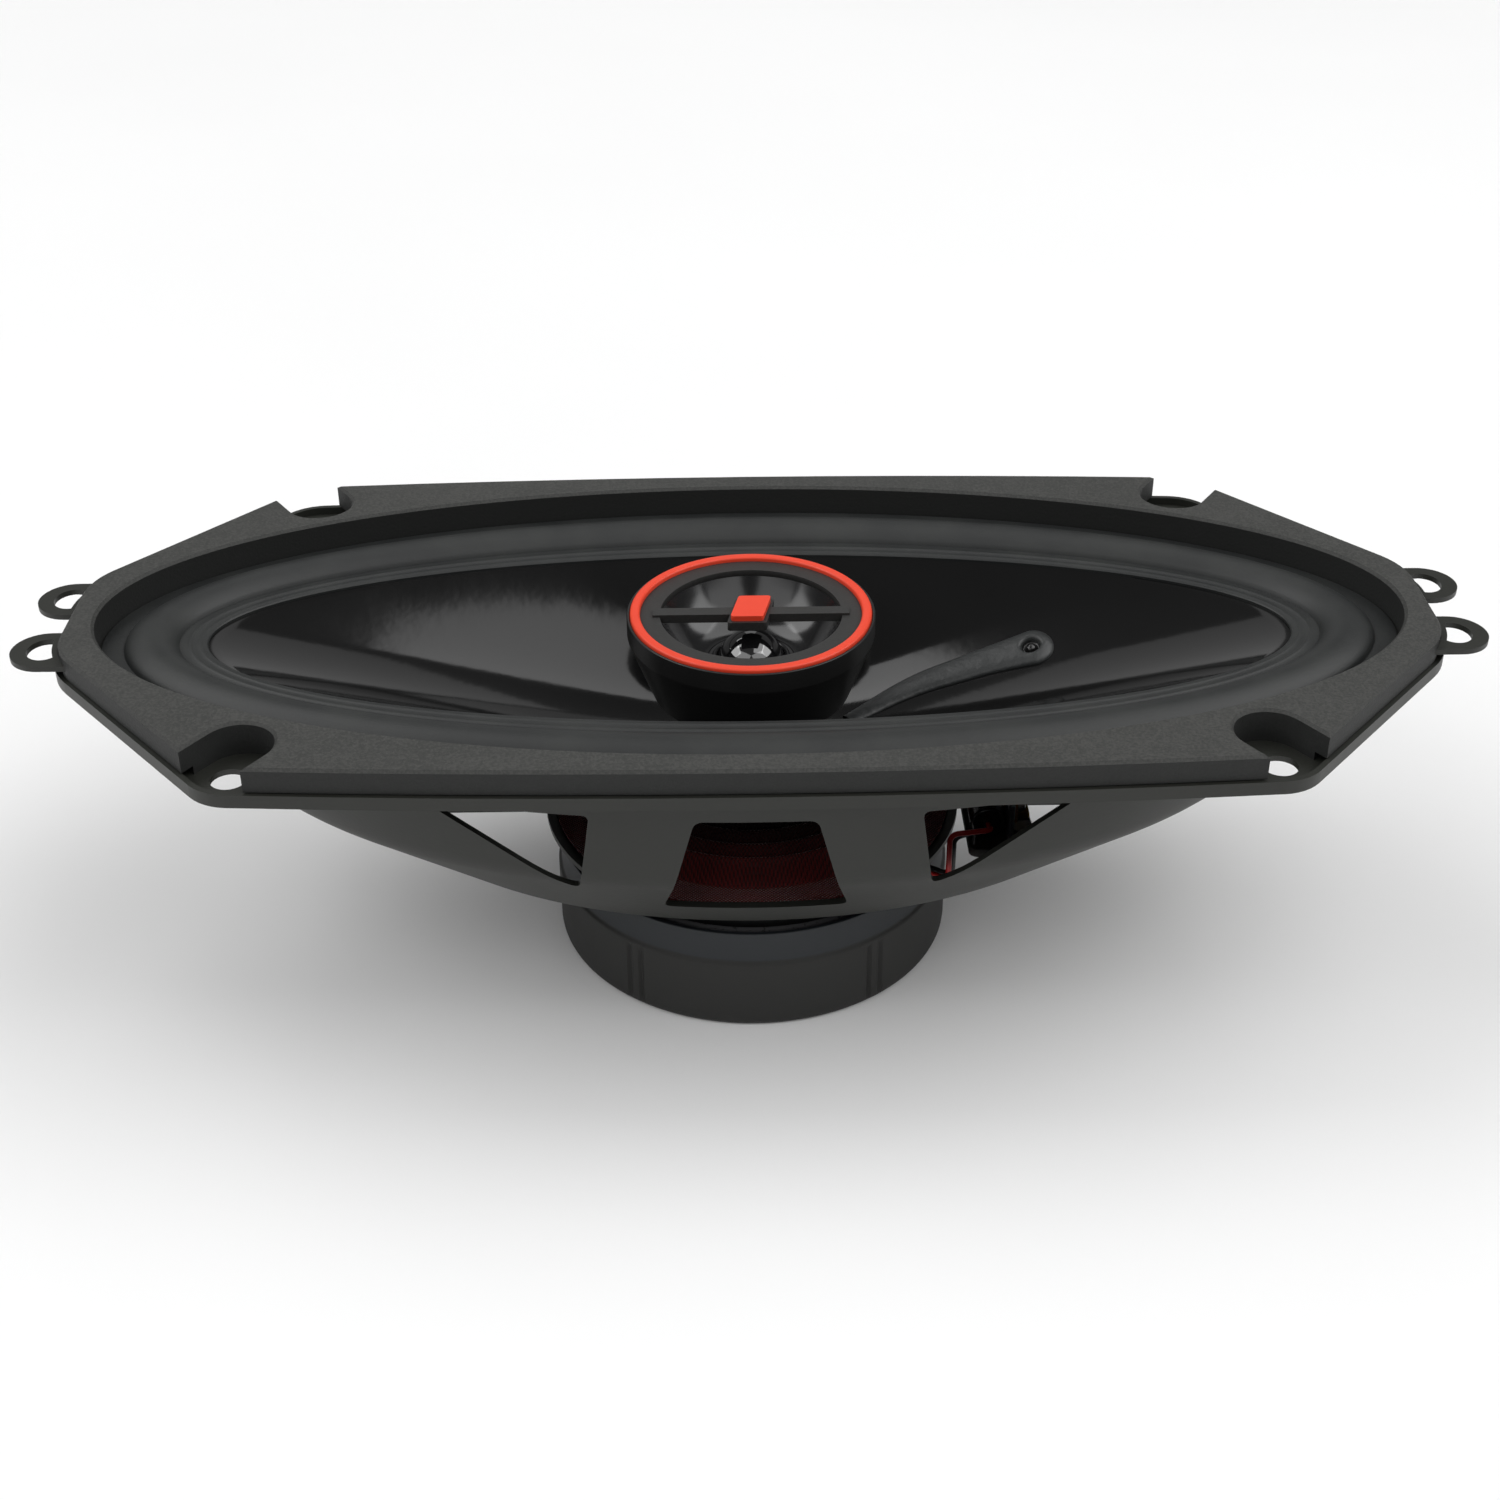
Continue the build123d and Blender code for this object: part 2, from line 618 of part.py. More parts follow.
def tab_rivets():
    """Place of the rivet through each tab's foot."""
    return [(TAB_X + TAB_FOOT / 2, y) for y, _ in TABS.values()]


def terminal_board():
    width = BOARD_X[1] - BOARD_X[0]
    length = BOARD_Y[1] - BOARD_Y[0]
    middle = (sum(BOARD_X) / 2, sum(BOARD_Y) / 2)
    outline = Pos(*middle) * RectangleRounded(width, length, BOARD_ROUND)
    outline -= [Pos(*place) * Circle(TAB_RIVET_R) for place in tab_rivets()]
    outline -= Pos(*BOARD_RIVET) * Circle(RIVET_R)
    return slab(outline, FLOOR_TOP, FLOOR_TOP + BOARD_THICK)


def terminal_tab(y, width):
    """Blade terminal: a flat foot riveted to the board and a blade standing up from it."""
    low = FLOOR_TOP + BOARD_THICK
    outline = Rectangle(TAB_FOOT, width) - Circle(TAB_RIVET_R)
    foot = slab(Pos(TAB_X + TAB_FOOT / 2, y) * outline, low, low + TAB_THICK)
    hole_r, hole_depth = TAB_HOLE
    blade = Pos(TAB_X, y, low + TAB_HEIGHT / 2) * Box(TAB_THICK, width, TAB_HEIGHT)
    hole = Rot(0, 90, 0) * Cylinder(hole_r, 2 * TAB_THICK)
    blade -= Pos(TAB_X, y, low + TAB_HEIGHT - hole_depth) * hole
    tip = blade.edges().filter_by(Axis.X).group_by(Axis.Z)[-1]
    return foot + chamfer(tip, TAB_CHAMFER)


def terminal_rivets():
    """One rivet through each tab's foot and one through the board into the arm."""
    low = FLOOR_TOP + BOARD_THICK
    foot_top = low + TAB_THICK
    small = slab(Circle(TAB_RIVET_R), FLOOR_TOP, foot_top)
    small += slab(Circle(TAB_RIVET_HEAD_R), foot_top, foot_top + TAB_THICK)
    large = slab(Circle(RIVET_R), FLOOR_TOP, low)
    large += slab(Circle(RIVET_HEAD[0]), low, low + RIVET_HEAD[1])
    rivets = [Pos(*place) * small for place in tab_rivets()]
    return Compound(rivets + [Pos(*BOARD_RIVET) * large])


def crossover_capacitor():
    """Small radial capacitor lying on the board."""
    z = FLOOR_TOP + BOARD_THICK + CAPACITOR_R
    can = Rot(90, 0, 0) * Cylinder(CAPACITOR_R, CAPACITOR_LENGTH)
    can = fillet(can.edges().filter_by(GeomType.CIRCLE), CAPACITOR_ROUND)
    return Pos(CAPACITOR_X, CAPACITOR_Y, z) * can


def wire(points, radii, radius):
    """A round wire along straight runs joined by arcs."""
    path = FilletPolyline(*points, radius=radii)
    start = Plane(origin=path @ 0, z_dir=path % 0)
    return sweep(start * Circle(radius), path)


def tweeter_wire(side, ending, radii):
    """Insulated lead: down the hollow post, under the magnet and up to the board."""
    shift = side * WIRE_SPACING
    below = YOKE_BOTTOM - WIRE_R - WIRE_GAP
    gap = (MAGNET_R + BOOT_INNER) / 2
    between = (BOOT_TOP + HULL_Z[2]) / 2
    route = [
        (0, HOUSING_FLOOR - SHEET),
        (0, below),
        (gap, below),
        (gap, between),
        (WIRE_RISE_R, between),
        (WIRE_RISE_R, ending[0].Z),
    ]
    points = [Vector(u, shift, z).rotate(Axis.Z, WIRE_AZIMUTH) for u, z in route]
    return wire(points + ending, WIRE_BENDS + radii, WIRE_R)


def tweeter_wires():
    """The red lead ends on the capacitor and the black one on the board."""
    board = FLOOR_TOP + BOARD_THICK
    capacitor_end = CAPACITOR_Y - CAPACITOR_LENGTH / 2
    red_end = Vector(CAPACITOR_X, capacitor_end, board + CAPACITOR_R)
    red = [red_end + Vector(0, -4.0, 1.5), red_end]
    black_end = Vector(BOARD_X[0] + 1.0, BOARD_Y[0] + 1.5, board)
    black = [black_end + Vector(0, 0, 3.0), black_end]
    return tweeter_wire(-1, red, [1.5, 1.2]), tweeter_wire(1, black, [1.2, 1.0])


def tinsel_lead(tab, side, drop):
    """Braided lead from the back of the cone down to its terminal tab."""
    x, y, z = eyelet_place()
    low = FLOOR_TOP + BOARD_THICK
    tab_y, _ = TABS[tab]
    top = Vector(x + 1.2 * side, y + 1.6, z - 2.5 * CONE_THICK)
    end = Vector(TAB_X + 1.0, tab_y, low + 2.5)
    points = [
        top,
        Vector(x + 1.0 * side, y - 1.8, z - 9.0),
        Vector(x - 2.5 + side, (y + tab_y) / 2, low + drop),
        Vector(end.X + 0.3, tab_y + 1.8, low + 0.6 * drop),
        end,
    ]
    return wire(points, TINSEL_BENDS, TINSEL_R)


def nodes():
    tabs = {name: terminal_tab(*place) for name, place in TABS.items()}
    tinsel = {
        lead: tinsel_lead(tab, *TINSEL_DROP[lead])
        for lead, tab in zip(TINSEL_DROP, TABS)
    }
    red, black = tweeter_wires()
    return {
        "basket_flange": basket_flange(),
        **basket_levels(),
        "mounting_gasket": mounting_gasket(),
        "surround": surround(),
        "cone": cone(),
        "cone_lead_bead": cone_lead_bead(),
        "cone_eyelet": cone_eyelet(),
        "voice_coil_former": tube(FORMER_R[1], FORMER_R[0], *FORMER_Z),
        "voice_coil_winding": tube(WINDING_R, FORMER_R[1], *WINDING_Z),
        "spider": spider(),
        "frame_rivets": frame_rivets(),
        "top_plate": top_plate(),
        "ferrite_magnet": ferrite_magnet(),
        "back_plate_pole": back_plate_pole(),
        "magnet_boot": magnet_boot(),
        "tweeter_housing": tweeter_housing(),
        "accent_ring": accent_ring(),
        "tweeter_faceplate": tweeter_faceplate(),
        "badge": badge(),
        "tweeter_waveguide": tweeter_waveguide(),
        "tweeter_cup": tweeter_cup(),
        "tweeter_magnet": tweeter_magnet(),
        "tweeter_pole_piece": tweeter_pole_piece(),
        "tweeter_voice_coil": tweeter_voice_coil(),
        "tweeter_dome": tweeter_dome(),
        "tweeter_dome_edge": tweeter_dome_edge(),
        "tweeter_post": tweeter_post(),
        "tweeter_post_nut": tweeter_post_nut(),
        "terminal_board": terminal_board(),
        "terminal_rivets": terminal_rivets(),
        "crossover_capacitor": crossover_capacitor(),
        "tweeter_wire_red": red,
        "tweeter_wire_black": black,
        **tinsel,
        **tabs,
    }


os.makedirs("parts", exist_ok=True)
for name, shape in nodes().items():
    export_step(shape, f"parts/{name}.step")
    print(name, round(shape.volume, 1))
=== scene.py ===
# %% [markdown]
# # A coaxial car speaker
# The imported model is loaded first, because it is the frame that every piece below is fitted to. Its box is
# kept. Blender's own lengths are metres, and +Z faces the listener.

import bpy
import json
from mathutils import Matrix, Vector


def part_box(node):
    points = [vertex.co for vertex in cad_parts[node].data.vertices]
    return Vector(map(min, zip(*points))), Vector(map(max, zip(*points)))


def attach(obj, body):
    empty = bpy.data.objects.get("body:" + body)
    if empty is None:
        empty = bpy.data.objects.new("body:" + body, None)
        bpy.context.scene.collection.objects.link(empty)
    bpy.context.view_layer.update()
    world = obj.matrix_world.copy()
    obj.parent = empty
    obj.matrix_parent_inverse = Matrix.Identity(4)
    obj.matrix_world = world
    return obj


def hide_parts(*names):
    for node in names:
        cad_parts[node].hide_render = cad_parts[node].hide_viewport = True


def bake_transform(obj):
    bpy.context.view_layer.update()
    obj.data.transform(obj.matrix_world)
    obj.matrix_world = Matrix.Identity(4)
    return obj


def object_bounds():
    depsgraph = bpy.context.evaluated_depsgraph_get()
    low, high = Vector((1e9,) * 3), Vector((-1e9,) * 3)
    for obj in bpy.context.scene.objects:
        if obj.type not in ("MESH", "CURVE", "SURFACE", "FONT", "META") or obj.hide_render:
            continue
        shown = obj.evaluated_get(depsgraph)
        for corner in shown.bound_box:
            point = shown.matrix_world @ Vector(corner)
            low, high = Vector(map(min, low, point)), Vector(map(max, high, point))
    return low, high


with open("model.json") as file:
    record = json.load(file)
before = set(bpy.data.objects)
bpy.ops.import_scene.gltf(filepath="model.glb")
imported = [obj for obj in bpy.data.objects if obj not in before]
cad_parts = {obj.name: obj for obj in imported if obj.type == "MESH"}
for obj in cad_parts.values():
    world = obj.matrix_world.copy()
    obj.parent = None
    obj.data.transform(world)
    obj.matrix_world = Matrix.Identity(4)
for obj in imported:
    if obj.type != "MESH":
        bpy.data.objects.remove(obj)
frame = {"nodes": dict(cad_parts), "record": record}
CAD_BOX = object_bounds()
print("frame", len(frame["nodes"]), "nodes, size", [round(b - a, 4) for a, b in zip(*CAD_BOX)])

# %% [markdown]
# The rest of the imports, two short names and one helper. Most pieces of a speaker are ovals or circles
# stacked up its axis, so nearly every mesh here is a list of rings, worked out in millimetres.

# %% Imports and short names
import json
from math import asin, atan2, cos, hypot, pi, radians, sin, sqrt

import bmesh
import bpy
from mathutils import Matrix, Vector

NODES = frame["nodes"]
MM = 0.001


def add(name, data):
    """A new object in the scene that holds the data."""
    item = bpy.data.objects.new(name, data)
    bpy.context.scene.collection.objects.link(item)
    return item


print("nodes", *sorted(NODES))

# %% [markdown]
# The camera stands in front of one long side and looks down into the cone from about thirty degrees above
# the flange. Its heading, dip and roll could be set as Euler angles, but a chain of those is easy to get
# wrong, so its own axes are worked out from the three angles with cross products.

# %% Camera
HEADING, DIP, ROLL = 0.013, 0.547, 0.0058
CAMERA_PLACE = (-0.004798, -0.330608, 0.187903)
LENS, SENSOR = 50.97, 36
SHIFT = (0.0009, -0.0308)

forward = Vector((sin(HEADING) * cos(DIP), cos(HEADING) * cos(DIP), -sin(DIP)))
level = Vector((cos(HEADING), -sin(HEADING), 0))
downward = forward.cross(level)
across = cos(ROLL) * level + sin(ROLL) * downward
below = cos(ROLL) * downward - sin(ROLL) * level

camera = add("camera", bpy.data.cameras.new("camera"))
turn = Matrix((across, -below, -forward)).transposed()
camera.matrix_world = Matrix.Translation(CAMERA_PLACE) @ turn.to_4x4()
camera.data.lens, camera.data.sensor_width = LENS, SENSOR
camera.data.shift_x, camera.data.shift_y = SHIFT
bpy.context.scene.camera = camera
print("camera", [round(v, 3) for v in camera.location])

# %% [markdown]
# A studio for a black object is mostly about what the gloss reflects. Two soft boxes hang left and right
# above the speaker, and a narrow white card stands behind it: these make the broad bands in the cone. Two
# boxes at the sides light the top faces, and two in front put the small highlights on the dome. Point lamps
# would leave hard dots in the gloss, so each light is a rectangle. Its brightness is given as radiance,
# which is the value that a mirror would show, so its power is radiance times pi times its area.

# %% Lights
CENTRE = (0.0, 0.0, 0.0)
ROOM_LIGHT = 0.13


def soft_box(name, place, size, radiance, target=CENTRE):
    """A rectangular lamp that faces the target."""
    lamp = bpy.data.lights.new(name, "AREA")
    lamp.shape = "RECTANGLE"
    lamp.size, lamp.size_y = size
    lamp.energy = radiance * pi * size[0] * size[1]
    light = add(name, lamp)
    light.location = place
    light.rotation_euler = (Vector(target) - Vector(place)).to_track_quat("-Z", "Y").to_euler()
    light.visible_camera = False
    print(name, round(lamp.energy, 1), "W")


soft_box("overhead_right", place=(0.95, 0.25, 2.0), size=(1.3, 2.6), radiance=1.7, target=(0.95, 0.25, 0))
soft_box("overhead_left", place=(-1.1, 0.95, 2.0), size=(1.3, 1.7), radiance=2.2, target=(-1.1, 0.95, 0))
soft_box("back_card", place=(0, 2.0, 1.05), size=(0.64, 2.2), radiance=0.42, target=(0, 0, 1.05))
for name, side in (("left", -1), ("right", 1)):
    soft_box("front_" + name, place=(1.2 * side, -1.6, 1.8), size=(2.1, 1.5), radiance=1.25)
    soft_box("side_" + name, place=(2.2 * side, 0, 1.75), size=(2.2, 1.6), radiance=2.7)

world = bpy.data.worlds.new("studio")
world.use_nodes = True
world.node_tree.nodes["Background"].inputs["Color"].default_value = (1, 1, 1, 1)
world.node_tree.nodes["Background"].inputs["Strength"].default_value = ROOM_LIGHT
bpy.context.scene.world = world
bpy.context.scene.view_settings.view_transform = "Standard"

# %% [markdown]
# Shader maths reads best as arithmetic. This class wraps one output socket, and each operator adds a Math
# node to the same tree, so that a mask can be written as 1 - pits. The reflected forms let a plain number
# stand on the left. The nodes could be made and linked one by one, but a formula would then take a page.

# %% Shader arithmetic
class Signal:
    """An output socket on which arithmetic adds Math nodes."""

    def __init__(self, finish, socket):
        self.finish = finish
        self.socket = socket

    def math(self, operation, *values):
        return self.finish.node("ShaderNodeMath", {"operation": operation}, dict(enumerate(values)))

    def __add__(self, other):
        return self.math("ADD", self, other)

    def __sub__(self, other):
        return self.math("SUBTRACT", self, other)

    def __rsub__(self, other):
        return self.math("SUBTRACT", other, self)

    def __mul__(self, other):
        return self.math("MULTIPLY", self, other)

    __radd__ = __add__
    __rmul__ = __mul__

    def sine(self):
        return self.math("SINE", self)


print("sockets take +, -, * and sine")

# %% [markdown]
# A finish is one Principled shader and whatever feeds it. Values that hold all over the surface are set on
# the shader's own sockets. Values that vary come from noise in the object's own coordinates. Generated
# coordinates would stretch with each piece, but these keep the grain the same size on a small nut and on
# the wide gasket. Every node comes from one method, so the recipes below stay short.

# %% Finishes as a class
def linear(red, green, blue):
    """A colour given in 0 to 255 screen values, carried through the sRGB curve to what a shader wants."""
    parts = [v / 255 for v in (red, green, blue)]
    return tuple(p / 12.92 if p <= 0.04045 else ((p + 0.055) / 1.055) ** 2.4 for p in parts) + (1.0,)


class Finish:
    """A node material with one Principled shader."""

    made = {}

    def __init__(self, name, **constants):
        self.material = bpy.data.materials.new(name)
        self.material.use_nodes = True
        self.tree = self.material.node_tree
        self.shader = self.tree.nodes["Principled BSDF"]
        for key, value in constants.items():
            self.shader.inputs[key.replace("_", " ")].default_value = value
        self.place = self.node("ShaderNodeTexCoord", output="Object")
        Finish.made[name] = self
        print("finish", name)

    def node(self, kind, settings=None, inputs=None, output=0):
        """Adds a node: its settings first, then the values or links of its sockets."""
        node = self.tree.nodes.new(kind)
        for key, value in (settings or {}).items():
            setattr(node, key, value)
        for key, value in (inputs or {}).items():
            if isinstance(value, Signal):
                self.tree.links.new(value.socket, node.inputs[key])
            else:
                node.inputs[key].default_value = value
        return Signal(self, node.outputs[output])

    def noise(self, size, detail=3.0, roughness=0.55, stretch=None):
        """Noise from 0 to 1 with blotches about this many metres across."""
        place = self.place if stretch is None else self.stretched(stretch)
        inputs = {"Vector": place, "Scale": 1 / size, "Detail": detail, "Roughness": roughness}
        return self.node("ShaderNodeTexNoise", {}, inputs)

    def stretched(self, scale):
        """The object's coordinates, scaled along each axis."""
        settings = {"operation": "MULTIPLY"}
        return self.node("ShaderNodeVectorMath", settings, {0: self.place, 1: scale})

    def band(self, signal, low, high):
        """0 below low, 1 above high and a smooth step between."""
        settings = {"interpolation_type": "SMOOTHSTEP"}
        inputs = {"Value": signal, "From Min": low, "From Max": high}
        return self.node("ShaderNodeMapRange", settings, inputs)

    def spread(self, signal, low, high):
        """The signal's 0 to 1 carried to low to high."""
        return self.node("ShaderNodeMapRange", {}, {"Value": signal, "To Min": low, "To Max": high})

    def tint(self, mask, dark, light):
        """A colour between two, by a mask."""
        inputs = {"Factor": mask, 6: dark, 7: light}
        return self.node("ShaderNodeMix", {"data_type": "RGBA"}, inputs, output=2)

    def feed(self, **signals):
        for key, signal in signals.items():
            self.tree.links.new(signal.socket, self.shader.inputs[key.replace("_", " ")])

    def relief(self, height, depth):
        """Bump of this many metres where the height goes from 0 to 1."""
        self.feed(Normal=self.node("ShaderNodeBump", {}, {"Height": height, "Distance": depth}))


print("finishes can be made")

# %% [markdown]
# The floor is a plain pale sheet. It could be a plane primitive, but four corners are as quick and put it
# exactly under the boot. It isn't part of the object.

# %% Floor
FLOOR_Z = CAD_BOX[0].z
FLOOR_HALF = 6.0


def floor_sheet():
    corners = [(FLOOR_HALF * x, FLOOR_HALF * y) for x, y in ((-1, -1), (1, -1), (1, 1), (-1, 1))]
    mesh = bpy.data.meshes.new("floor")
    mesh.from_pydata([(x, y, FLOOR_Z) for x, y in corners], [], [(0, 1, 2, 3)])
    paper = Finish("studio_paper", Roughness=0.9)
    clouds = paper.noise(size=0.4)
    paper.feed(Base_Color=paper.tint(clouds, linear(238, 238, 238), linear(246, 246, 246)))
    mesh.materials.append(paper.material)
    add("floor", mesh)


floor_sheet()
print("floor", 2 * FLOOR_HALF, "m square at height", round(FLOOR_Z, 4))

# %% [markdown]
# The pressed basket is powder coated. Powder flows out to a satin skin with a faint orange peel, a fraction
# of a millimetre across. One constant roughness would look like paint on glass, so two noises are used: a
# fine one for the peel and a broad one for slow changes of gloss and colour.

# %% Powder coat on the basket
def powder_coat():
    coat = Finish("basket_steel", IOR=1.45)
    clouds = coat.noise(size=0.02)
    coat.feed(Base_Color=coat.tint(clouds, linear(35, 36, 32), linear(41, 42, 38)))
    coat.feed(Roughness=coat.spread(clouds, 0.38, 0.52))
    coat.relief(coat.noise(size=0.0007, detail=2), depth=0.00002)


powder_coat()

# %% [markdown]
# The gasket ring and the tweeter's faceplate are matt mouldings with a fine random pebble. The pebble could
# be bump alone, but it shows as bright and dark specks too, so the same noise drives the relief and a slight
# change of colour. The gasket's upright walls get a darker colour than its top, as painted shade, so there
# the Z of the surface's own normal picks between the two colours.

# %% Grained plastic on the gasket and the faceplate
def grained(name, dark, light, rough, grain, wall_shade=None):
    """A matt moulding with pebbles of the given size and, where given, painted shade as a darker colour on
    upright walls.
    """
    plastic = Finish(name, IOR=1.46)
    pebble = plastic.noise(size=grain, detail=2)
    clouds = plastic.noise(size=30 * grain)
    colour = plastic.tint(plastic.band(pebble * 0.8 + clouds * 0.2, 0.35, 0.68), dark, light)
    if wall_shade:
        # On upright walls the colour is painted shade.
        facing = plastic.node("ShaderNodeTexCoord", output="Normal")
        lit_top = plastic.band(plastic.node("ShaderNodeSeparateXYZ", {}, {0: facing}, output=2), 0.3, 0.9)
        colour = plastic.tint(lit_top, wall_shade, colour)
    plastic.feed(Base_Color=colour)
    plastic.feed(Roughness=plastic.spread(pebble, rough - 0.06, rough + 0.08))
    plastic.relief(pebble, depth=grain * 0.12)


grained("gasket_polymer", linear(48, 49, 47), linear(66, 66, 64), 0.65, 0.00045, wall_shade=linear(31, 32, 31))
grained("face_plastic", linear(38, 38, 37), linear(46, 46, 45), 0.5, 0.0003)

# %% [markdown]
# The surround and the boot are moulded rubber. The surround has a soft cloudy bloom, so its colour and gloss
# follow a broad noise. The boot is dull and even below its shoulder, and smoother above it, where a bluer
# colour is painted in as the sheen of light on the upper band. A second mesh could carry that band but
# would leave a seam, so one mask by height is used.

# %% Rubber on the surround and the boot
BAND_FROM, BAND_TO = -0.0447, -0.0441          # heights between which the boot's finish changes


def surround_rubber():
    rubber = Finish("surround_rubber", IOR=1.5)
    bloom = rubber.noise(size=0.011, detail=5)
    mask = rubber.band(bloom, 0.35, 0.7)
    rubber.feed(Base_Color=rubber.tint(mask, linear(29, 31, 31), linear(37, 39, 38)))
    rubber.feed(Roughness=rubber.spread(bloom, 0.45, 0.57))
    rubber.relief(rubber.noise(size=0.0005, detail=2), depth=0.00002)


def boot_rubber():
    rubber = Finish("boot_rubber", IOR=1.5)
    height = rubber.node("ShaderNodeSeparateXYZ", {}, {0: rubber.place}, output=2)
    sheen_band = rubber.band(height, BAND_FROM, BAND_TO)
    # Above the shoulder the colour turns bluer: painted sheen of the light on the upper band.
    rubber.feed(Base_Color=rubber.tint(sheen_band, linear(33, 33, 31), linear(31, 35, 39)))
    rubber.feed(Roughness=rubber.spread(sheen_band, 0.6, 0.48))
    rubber.relief(rubber.noise(size=0.0005, detail=2), depth=0.00002)


surround_rubber()
boot_rubber()

# %% [markdown]
# The cone and the tweeter's horn are polished black mouldings. Almost all that is seen of them is what they
# reflect, so their colour is close to black, and a slow noise adds a shallow waviness and a little haze. A
# perfect mirror would be simpler but would show every lamp's edge. The dome reflects more than bare plastic
# does, and a higher index of refraction gives it that.

# %% Polished mouldings
def polished(name, dark, rough, wave=0.02, depth=0.00001, ior=1.5):
    """A glossy moulding whose haze and level change slowly."""
    gloss = Finish(name, IOR=ior)
    haze = gloss.noise(size=wave, detail=4)
    gloss.feed(Base_Color=gloss.tint(haze, dark, tuple(1.3 * v for v in dark[:3]) + (1.0,)))
    gloss.feed(Roughness=gloss.spread(haze, rough * 0.8, rough * 1.3))
    gloss.relief(haze, depth)


polished("cone_polymer", linear(13, 13, 13), rough=0.09, wave=0.016, depth=0.00005)
polished("tweeter_gloss", linear(14, 14, 15), rough=0.16, ior=1.6)
polished("dome_film", linear(16, 16, 17), rough=0.06, ior=2.1)
polished("capacitor_sleeve", linear(18, 19, 22), rough=0.2)

# %% [markdown]
# The adhesive over the leads sets dull and a little lumpy. In the pit at the eyelet its colour is painted
# near black, as painted shade in the pit, and made glossy. That could be a piece of its own, but it is the
# same adhesive, so its finish is found by distance from the eyelet.

# %% Lead adhesive
EYELET = (0.052, 0.0095, -0.0083)              # a finish works in metres
PIT_FROM, PIT_TO = 0.0014, 0.0021              # distances between which the painted shade of the pit gives way to the ridge's colour


def adhesive():
    glue = Finish("lead_adhesive", IOR=1.5)
    settings = {"operation": "DISTANCE"}
    away = glue.node("ShaderNodeVectorMath", settings, {0: glue.place, 1: EYELET}, output=1)
    clear_of_pit_shade = glue.band(away, PIT_FROM, PIT_TO)
    # Near the eyelet the colour is painted shade of the pit's depth.
    glue.feed(Base_Color=glue.tint(clear_of_pit_shade, linear(8, 8, 8), linear(37, 39, 39)))
    glue.feed(Roughness=glue.spread(clear_of_pit_shade, 0.1, 0.42))
    glue.relief(glue.noise(size=0.003, detail=4), depth=0.0003)


adhesive()

# %% [markdown]
# Satin mouldings and insulation differ only in colour and gloss, so they share one recipe. Each is dyed
# through, so its colour hardly varies, and a fine noise keeps the sheen from looking like glass.

# %% Satin mouldings
def satin(name, dark, light, rough):
    """A dyed moulding with a soft sheen."""
    dyed = Finish(name, IOR=1.46)
    fine = dyed.noise(size=0.0004, detail=2)
    dyed.feed(Base_Color=dyed.tint(dyed.noise(size=0.006), dark, light))
    dyed.feed(Roughness=dyed.spread(fine, rough - 0.05, rough + 0.07))
    dyed.relief(fine, depth=0.00001)


satin("tweeter_plastic", linear(22, 22, 22), linear(27, 27, 27), rough=0.36)
satin("accent_polymer", linear(224, 62, 36), linear(232, 70, 42), rough=0.42)
satin("red_insulation", linear(160, 16, 18), linear(178, 26, 26), rough=0.36)
satin("black_insulation", linear(18, 18, 18), linear(24, 24, 24), rough=0.36)
satin("board_fibre", linear(22, 20, 18), linear(34, 31, 28), rough=0.7)
satin("coil_former", linear(116, 66, 26), linear(138, 82, 36), rough=0.34)

# %% [markdown]
# Metals differ in colour and in how they were worked. An even mirror would look like chrome, so each gets a
# grain stretched along one axis, which is what rolling or turning leaves, and patches of duller plating.

# %% Metals
def metal(name, dark, light, rough, metallic=1.0, grain=(1, 1, 12)):
    """Plated or bare metal with a directional grain."""
    plate = Finish(name, Metallic=metallic)
    lines = plate.noise(size=0.002, detail=4, stretch=grain)
    patches = plate.noise(size=0.005)
    plate.feed(Base_Color=plate.tint(patches, dark, light))
    plate.feed(Roughness=plate.spread(lines * 0.6 + patches * 0.4, rough - 0.08, rough + 0.12))
    plate.relief(lines, depth=0.00001)


metal("rivet_steel", linear(150, 152, 154), linear(180, 182, 184), rough=0.34)
metal("plated_brass", linear(176, 142, 76), linear(204, 170, 96), rough=0.3)
metal("motor_steel", linear(34, 34, 35), linear(46, 46, 47), rough=0.42, metallic=0.7)
metal("copper_wire", linear(150, 74, 38), linear(184, 98, 56), rough=0.3, grain=(1, 1, 30))
metal("tinsel_braid", linear(166, 124, 84), linear(204, 164, 120), rough=0.36)

# %% [markdown]
# The magnet is a sintered ceramic: dark, dull, and peppered with tiny pits. Modelled pits would cost many
# faces on a piece that is mostly hidden, so a band over a noise keeps only its peaks, and those are the pits.

# %% Ferrite
def ferrite():
    ceramic = Finish("ferrite", IOR=1.6)
    pits = ceramic.band(ceramic.noise(size=0.0009, detail=3), 0.58, 0.66)
    ceramic.feed(Base_Color=ceramic.tint(1 - pits, linear(30, 30, 32), linear(62, 62, 65)))
    ceramic.feed(Roughness=ceramic.spread(ceramic.noise(size=0.008), 0.55, 0.75))
    ceramic.relief(1 - pits, depth=0.00006)


ferrite()

# %% [markdown]
# The spider is cloth, dipped in resin and pressed hot into waves. Real threads would be a huge mesh. Warp
# and weft cross at right angles whatever the waves do, so the weave is the product of two sines, one along
# X and one along Y. A broad noise stands for uneven resin, and toward the middle the red gives way to
# painted shade.

# %% Resin-stiffened cloth
THREAD = 0.0007
SHADE_R, RED_R = 0.015, 0.036                   # the cloth goes from painted shade to red between these radii
